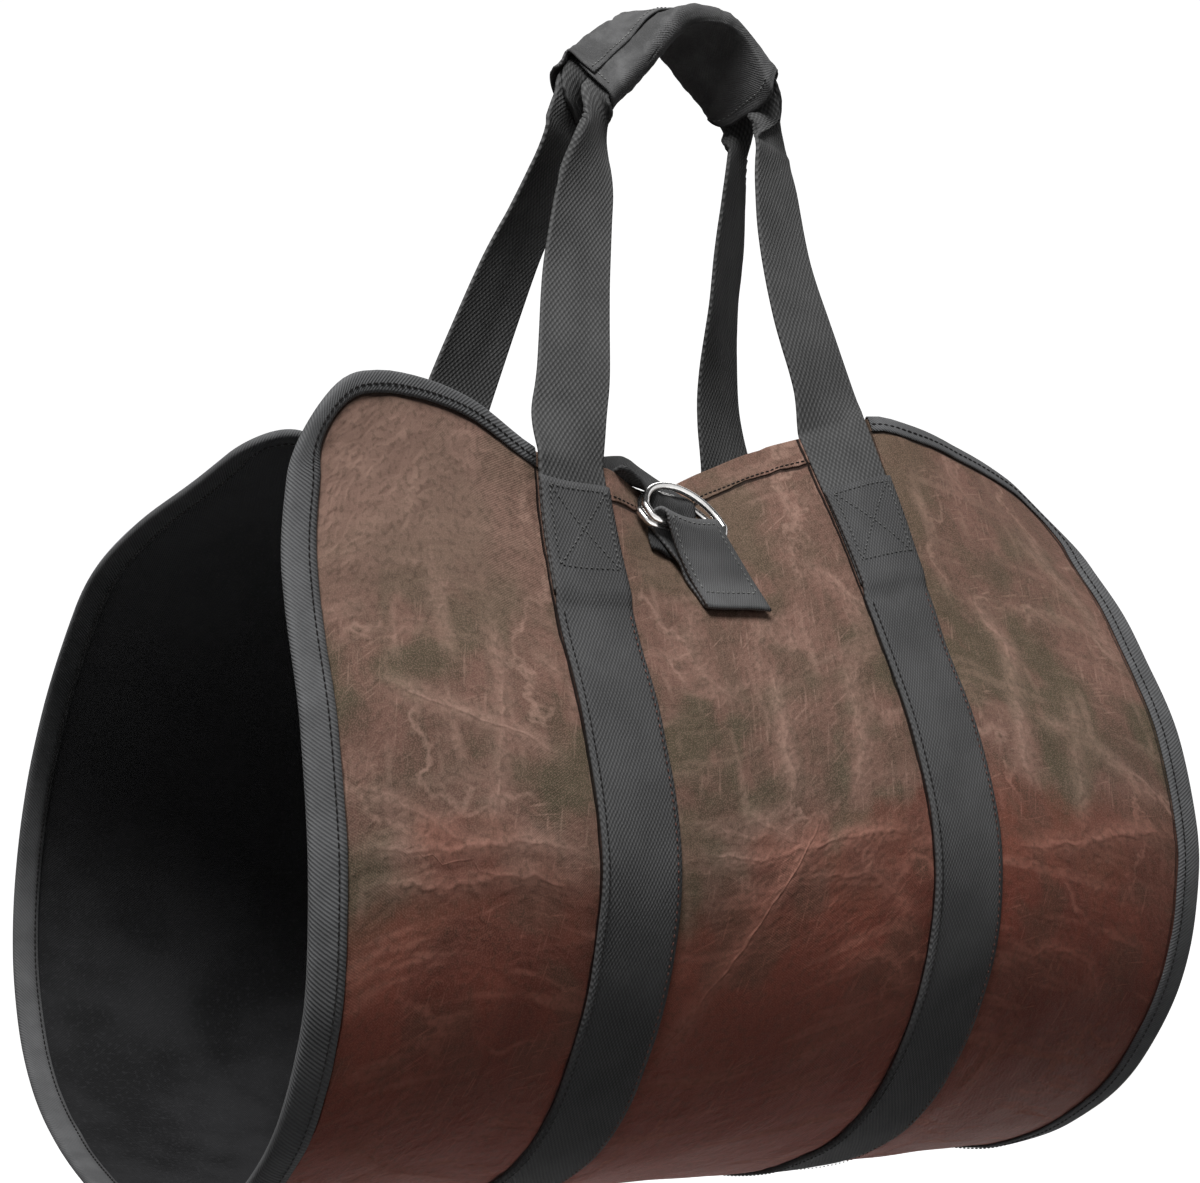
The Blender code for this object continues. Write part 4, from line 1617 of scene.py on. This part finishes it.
def strap_seams(s, pitch):
    """Both edges of each strap, the right one by itself, and the crossed box at each end."""
    top = LAY + s.webbing + 0.0005
    high = top + s.webbing + 0.0004
    left_edges, right_edges, ends = Seam(), Seam(), Seam()
    for side in ("left", "right"):
        mid = s.strap_middle(side)
        front = FRONT_STARTS[side]
        back = s.length - BACK_STARTS[side]
        for sign, seam in ((-1.0, left_edges), (1.0, right_edges)):
            u = mid + sign * (s.strap / 2.0 - 0.0022)
            a = front + OVERLAP + 0.010
            b = back - OVERLAP - 0.010
            seam.run(on_cloth(s, ((u, a), (u, b)), top, 300), pitch)
        w = s.strap / 2.0 - 0.0034
        for edge, way in ((front, 1.0), (back, -1.0)):
            a = edge + way * 0.0035
            b = edge + way * (OVERLAP - 0.012)
            box = ((mid - w, a), (mid + w, a), (mid + w, b), (mid - w, b), (mid - w, a))
            for path in (box, (box[0], box[2]), (box[1], box[3])):
                ends.run(on_cloth(s, path, high), pitch * 0.85)
    return left_edges, right_edges, ends


def tape_seam(s, pitch):
    """Along the inner edge of each binding, on both faces of the sheet."""
    seam = Seam()
    for sign in (-1.0, 1.0):
        outer = []
        inner = []
        for u, v, in_u, in_v in rim_path(s, sign):
            inset = band(s, v) - 0.0028
            u += in_u * inset
            v += in_v * inset
            n = s.normal(u, v)
            outer.append((s.place(u, v, 0.0019), n))
            inner.append((s.place(u, v, -s.thickness - 0.0018), -n))
        seam.run(outer, pitch)
        seam.run(inner, pitch)
    return seam


def hem_seam(s, pitch):
    """Along the turned hem between the straps, at both top edges."""
    seam = Seam()
    limit = s.spacing / 2.0 - s.strap / 2.0 - 0.001
    for v in (0.0140, s.length - 0.0140):
        path = []
        for k in range(121):
            u = limit * (-1.0 + k / 60.0)
            off = hem_height(s, u, v) + pucker(s, u, v) + 0.0003
            path.append((s.place(u, v, off), s.normal(u, v)))
        seam.run(path, pitch)
    return seam


def facing(n, outward):
    """n as a unit vector, turned round if it points away from outward."""
    n.normalize()
    return -n if n.dot(outward) < 0.0 else n


def light_seam(s, sizes):
    """The pale stitches of the ring tab, the closure strap's back end and the grip."""
    pitch = sizes.stitch_pitch
    seam = Seam()
    rows = tab_rows(s, TAB_CELLS)
    outward = s.normal(-0.01, 0.06)
    last = len(rows) - 1
    for i in (last - 3, last - 25):
        path = []
        for k in range(1, TAB_CELLS):
            n = (rows[i][k + 1] - rows[i][k - 1]).cross(rows[i + 1][k] - rows[i][k])
            n = facing(n, outward)
            path.append((rows[i][k] + n * 0.0010, n))
        seam.run(path, pitch * 0.85)
    for k in (1, TAB_CELLS - 1):
        path = [(rows[i][k] + outward * 0.0010, outward) for i in range(last - 25, last - 2)]
        seam.run(path, pitch * 0.85)
    near, far = CLOSURE_BACK - 0.0145, CLOSURE_BACK + 0.0145
    low, high = s.length - 0.050, s.length - 0.020
    box = ((near, low), (far, low), (far, high), (near, high), (near, low))
    seam.run(on_cloth(s, box, 0.0023), pitch)
    rows, _ = grip_rows(s, sizes)
    rise = sizes.grip_thickness / 2.0 + 0.0003
    lap = [(k, 73) for k in range(1, GRIP_CELLS)]
    left_end = [(3, m) for m in range(3, 10)]
    right_end = [(GRIP_CELLS - 4, m) for m in range(28, 55)]
    for run in (lap, left_end, right_end):
        path = []
        for k, m in run:
            n = (rows[k][m + 1] - rows[k][m - 1]).cross(rows[k + 1][m] - rows[k - 1][m])
            n = facing(n, rows[k][m] - grip_frame(k / GRIP_CELLS)[0])
            path.append((rows[k][m] + n * rise, n))
        seam.run(path, pitch * 0.85)
    return seam


class BAG_OT_stitching(bpy.types.Operator):
    """Sew every seam with real thread stitches"""

    bl_idname = "firewood_bag.stitching"
    bl_label = "Stitching"

    def execute(self, context):
        s = surface(context)
        sizes = context.scene.bag_sizes
        looks = context.scene.bag_looks
        pitch = sizes.stitch_pitch
        black = thread(looks.thread, "sewing thread")
        light = thread(looks.thread_light, "light thread")
        brown = thread(looks.thread_brown, "brown thread")
        soft = thread(scaled(looks.thread_light, 0.62), "strap end thread")
        left_edges, right_edges, ends = strap_seams(s, pitch)
        #     seam, name, length by pitch, width by thread, material, slot
        seams = (
            (left_edges, "strap_stitches", 0.80, 1.0, black, "strap_webbing"),
            (right_edges, "strap_stitches_brown", 0.55, 0.9, brown, "strap_webbing"),
            (ends, "strap_end_stitches", 0.50, 0.8, soft, "strap_webbing"),
            (tape_seam(s, pitch), "tape_stitches", 0.84, 1.1, black, "binding_tape"),
            (hem_seam(s, pitch), "hem_stitches", 0.80, 1.0, black, "waxed_canvas"),
            (light_seam(s, sizes), "light_stitches", 0.55, 0.85, light, "grip_cloth"),
        )
        for seam, name, length, width, stuff, slot in seams:
            obj = seam.sew(name, pitch * length, sizes.thread_width * width, stuff)
            settle(obj, None)
        return {"FINISHED"}


# The studio's round floor: flat, then curved up to a wall.
FLOOR_FLAT = 3.0
FLOOR_CURVE = 1.6
FLOOR_AROUND = 72

# The camera as it was matched to the photo, in the bag's own frame, with its turn to the
# right of +Y and its tilt in radians.
CAMERA_PLACE = (-0.54768, -0.93705, -0.03092)
CAMERA_TURN = 0.5447793663942033
CAMERA_TILT = -0.10497107978414853
CAMERA_SHIFT = 0.0318

#     name     place                  aim                    size  power
LAMPS = (
    ("key", (-0.95, -1.05, 1.60), (-0.05, -0.05, -0.25), 1.2, 64.0),
    ("fill", (0.2, -2.0, 0.2), (-0.1, 0.0, -0.30), 1.5, 1.6),
    ("rim", (0.9, 1.3, 1.2), (0.0, 0.0, -0.2), 1.0, 8.0),
)


def studio_floor(stage):
    """The floor and its wall as one lit, round bowl."""
    f = Finish("studio floor")
    tone = f.noise(f.position(), 2.0, 2.0)
    color = f.mix(tone * 0.3, four(stage.floor), scaled(stage.floor, 0.97))
    stuff = f.finish(
        color,
        0.9,
        Specular_IOR_Level=0.1,
        Emission_Color=(1.0, 1.0, 1.0, 1.0),
        Emission_Strength=stage.floor_glow,
    )
    stuff.cycles.emission_sampling = "NONE"
    centre = Vector((0.0, 0.0, SOLID_BOX[0][2] - stage.floor_drop))
    profile = [(0.02, 0.0), (1.0, 0.0), (2.0, 0.0), (FLOOR_FLAT, 0.0)]
    for k in range(1, 13):
        a = math.pi / 2.0 * k / 12.0
        out = FLOOR_FLAT + FLOOR_CURVE * math.sin(a)
        profile.append((out, FLOOR_CURVE - FLOOR_CURVE * math.cos(a)))
    profile += [(FLOOR_FLAT + FLOOR_CURVE, up) for up in (2.4, 3.6, 5.0)]
    points = []
    for radius, up in profile:
        for k in range(FLOOR_AROUND):
            a = 2.0 * math.pi * k / FLOOR_AROUND
            points.append(centre + Vector((radius * math.cos(a), radius * math.sin(a), up)))
    faces = [tuple(range(FLOOR_AROUND))]
    for i in range(len(profile) - 1):
        a = i * FLOOR_AROUND
        c = a + FLOOR_AROUND
        for k in range(FLOOR_AROUND):
            b = (k + 1) % FLOOR_AROUND
            faces.append((a + k, c + k, c + b, a + b))
    floor = new_piece("floor", points, faces, None, [stuff])
    floor.visible_diffuse = False


def add_lamp(scene, name, place, aim, size, power):
    clear(name)
    lamp = bpy.data.lights.new(name, "AREA")
    lamp.shape = "DISK"
    lamp.size = size
    lamp.energy = power
    obj = bpy.data.objects.new(name, lamp)
    obj.location = place
    way = Vector(aim) - Vector(place)
    obj.rotation_euler = way.to_track_quat("-Z", "Y").to_euler()
    scene.collection.objects.link(obj)


def photo_camera(scene, focal_length):
    clear("camera")
    lens = bpy.data.cameras.new("camera")
    lens.sensor_fit = "HORIZONTAL"
    lens.sensor_width = 36.0
    lens.lens = focal_length
    lens.shift_y = CAMERA_SHIFT
    lens.clip_start = 0.05
    lens.clip_end = 30.0
    level = math.cos(CAMERA_TILT)
    sine, cosine = math.sin(CAMERA_TURN), math.cos(CAMERA_TURN)
    view = Vector((sine * level, cosine * level, -math.sin(CAMERA_TILT)))
    right = Vector((cosine, -sine, 0.0))
    turned = Matrix((right, right.cross(view), -view)).transposed().to_4x4()
    turned.translation = free(*CAMERA_PLACE)
    camera = bpy.data.objects.new("camera", lens)
    camera.matrix_world = turned
    scene.collection.objects.link(camera)
    scene.camera = camera


class BAG_OT_stage(bpy.types.Operator):
    """Set up the pale floor, the soft light and the camera"""

    bl_idname = "firewood_bag.stage"
    bl_label = "Stage"

    def execute(self, context):
        scene = context.scene
        stage = scene.bag_stage
        studio_floor(stage)
        world = bpy.data.worlds.new("studio")
        world.use_nodes = True
        back = world.node_tree.nodes["Background"]
        back.inputs[0].default_value = (1.0, 1.0, 1.0, 1.0)
        back.inputs[1].default_value = stage.world_light
        scene.world = world
        for name, place, aim, size, power in LAMPS:
            add_lamp(scene, name, place, aim, size, power * stage.light)
        photo_camera(scene, stage.lens)
        scene.view_settings.view_transform = "Standard"
        return {"FINISHED"}


def size_prop(name, description, default, low, high):
    kinds = {"unit": "LENGTH", "precision": 4}
    return number_prop(name, description, default, low, high, **kinds)


def number_prop(name, description, default, low, high, **kinds):
    return FloatProperty(
        name=name, description=description, default=default, min=low, max=high, **kinds
    )


def color_prop(name, description, default):
    kinds = {"subtype": "COLOR", "size": 3, "min": 0.0, "max": 1.0}
    return FloatVectorProperty(name=name, description=description, default=default, **kinds)


class BagSizes(bpy.types.PropertyGroup):
    sheet_width: size_prop("Sheet width", "Canvas along the bag", 0.460, 0.42, 0.50)
    sheet_length: size_prop("Sheet length", "Canvas round the body", 1.075, 1.0, 1.15)
    sheet_thickness: size_prop("Canvas thickness", "Waxed canvas", 0.002, 0.001, 0.003)
    corner_radius: size_prop("Corner radius", "Round corners of the sheet", 0.032, 0.02, 0.05)
    binding_width: size_prop("Binding width", "Tape on the outside", 0.012, 0.008, 0.016)
    binding_thickness: size_prop("Binding thickness", "Tape", 0.0008, 0.0005, 0.0012)
    strap_width: size_prop("Webbing width", "Straps and handles", 0.038, 0.03, 0.045)
    strap_spacing: size_prop("Strap spacing", "Between strap centres", 0.174, 0.15, 0.20)
    webbing_thickness: size_prop("Webbing thickness", "Straps and handles", 0.0018, 0.001, 0.0022)
    grip_width: size_prop("Grip width", "Flattened wrap", 0.050, 0.045, 0.056)
    grip_thickness: size_prop("Grip cloth thickness", "One layer", 0.0012, 0.001, 0.002)
    ring_inside: size_prop("Ring inside width", "Along the straight bar", 0.041, 0.038, 0.045)
    ring_height: size_prop("Ring height", "From the bar to the bow", 0.0260, 0.02, 0.03)
    ring_wire: size_prop("Ring wire", "Diameter of the wire", 0.0035, 0.003, 0.004)
    stitch_pitch: size_prop("Stitch pitch", "From stitch to stitch", 0.0033, 0.0025, 0.005)
    thread_width: size_prop("Thread width", "Heavy sewing thread", 0.0008, 0.0005, 0.0012)


SIZE_NAMES = (
    "sheet_width",
    "sheet_length",
    "sheet_thickness",
    "corner_radius",
    "binding_width",
    "strap_width",
    "strap_spacing",
    "webbing_thickness",
)


class BagLooks(bpy.types.PropertyGroup):
    canvas_brown: color_prop("Canvas brown", "Main tone of the wax", (0.156, 0.090, 0.068))
    canvas_olive: color_prop("Canvas olive", "Greener patches", (0.096, 0.078, 0.050))
    canvas_pink: color_prop("Canvas worn", "Rubbed warmer patches", (0.200, 0.108, 0.084))
    canvas_red: color_prop("Canvas red", "Towards the keel", (0.238, 0.062, 0.043))
    # Redder than the canvas red, and darker partly as painted shade round the bottom.
    canvas_keel: color_prop("Canvas keel", "Round the bottom", (0.168, 0.034, 0.024))
    canvas_mark: color_prop("Crease mark", "Pale creases", (0.470, 0.300, 0.236))
    canvas_mark_red: color_prop("Red crease mark", "Creases low down", (0.480, 0.175, 0.125))
    canvas_inside: color_prop("Canvas inside", "Near black inner face", (0.018, 0.018, 0.019))
    binding: color_prop("Binding tape", "Grey tape", (0.130, 0.131, 0.134))
    strap: color_prop("Strap webbing", "Body straps", (0.084, 0.084, 0.085))
    handle: color_prop("Handle webbing", "Handles", (0.084, 0.084, 0.084))
    grip: color_prop("Grip cloth", "Wrap", (0.125, 0.125, 0.126))
    thread: color_prop("Thread", "All seams", (0.012, 0.011, 0.011))
    thread_light: color_prop("Light thread", "Grip, tab and strap ends", (0.190, 0.190, 0.186))
    thread_brown: color_prop("Brown thread", "Right edges of the straps", (0.110, 0.052, 0.042))
    nickel: color_prop("Nickel", "D-rings", (0.72, 0.71, 0.70))


class BagStage(bpy.types.PropertyGroup):
    floor: color_prop("Floor", "Floor and backdrop", (0.90, 0.90, 0.90))
    floor_drop: size_prop("Floor drop", "Floor below the bag", 0.30, 0.02, 1.0)
    floor_glow: number_prop("Floor glow", "Own light of the lit backdrop", 0.92, 0.0, 2.0)
    world_light: number_prop("World light", "Even light from all round", 0.070, 0.0, 3.0)
    light: number_prop("Lamps", "Share of the lamps", 1.0, 0.0, 4.0)
    lens: number_prop("Lens", "Focal length in millimetres", 63.0, 20.0, 200.0)


class BAG_PT_panel(bpy.types.Panel):
    bl_label = "Firewood bag"
    bl_idname = "BAG_PT_panel"
    bl_space_type = "VIEW_3D"
    bl_region_type = "UI"
    bl_category = "Firewood Bag"

    def draw(self, context):
        layout = self.layout
        for operator in OPERATORS:
            layout.operator(operator.bl_idname)
        for group in (context.scene.bag_sizes, context.scene.bag_looks, context.scene.bag_stage):
            box = layout.box()
            for name in group.__annotations__:
                box.prop(group, name)


OPERATORS = (
    BAG_OT_canvas,
    BAG_OT_bindings,
    BAG_OT_straps,
    BAG_OT_handles,
    BAG_OT_grip,
    BAG_OT_closure,
    BAG_OT_rings,
    BAG_OT_stitching,
    BAG_OT_stage,
)
CLASSES = (BagSizes, BagLooks, BagStage) + OPERATORS + (BAG_PT_panel,)


def register():
    for kind in CLASSES:
        bpy.utils.register_class(kind)
    bpy.types.Scene.bag_sizes = PointerProperty(type=BagSizes)
    bpy.types.Scene.bag_looks = PointerProperty(type=BagLooks)
    bpy.types.Scene.bag_stage = PointerProperty(type=BagStage)


def unregister():
    del bpy.types.Scene.bag_stage
    del bpy.types.Scene.bag_looks
    del bpy.types.Scene.bag_sizes
    for kind in reversed(CLASSES):
        bpy.utils.unregister_class(kind)


def main():
    register()
    bpy.ops.firewood_bag.canvas()
    bpy.ops.firewood_bag.bindings()
    bpy.ops.firewood_bag.straps()
    bpy.ops.firewood_bag.handles()
    bpy.ops.firewood_bag.grip()
    bpy.ops.firewood_bag.closure()
    bpy.ops.firewood_bag.rings()
    bpy.ops.firewood_bag.stitching()
    bpy.ops.firewood_bag.stage()


if __name__ == "__main__":
    main()
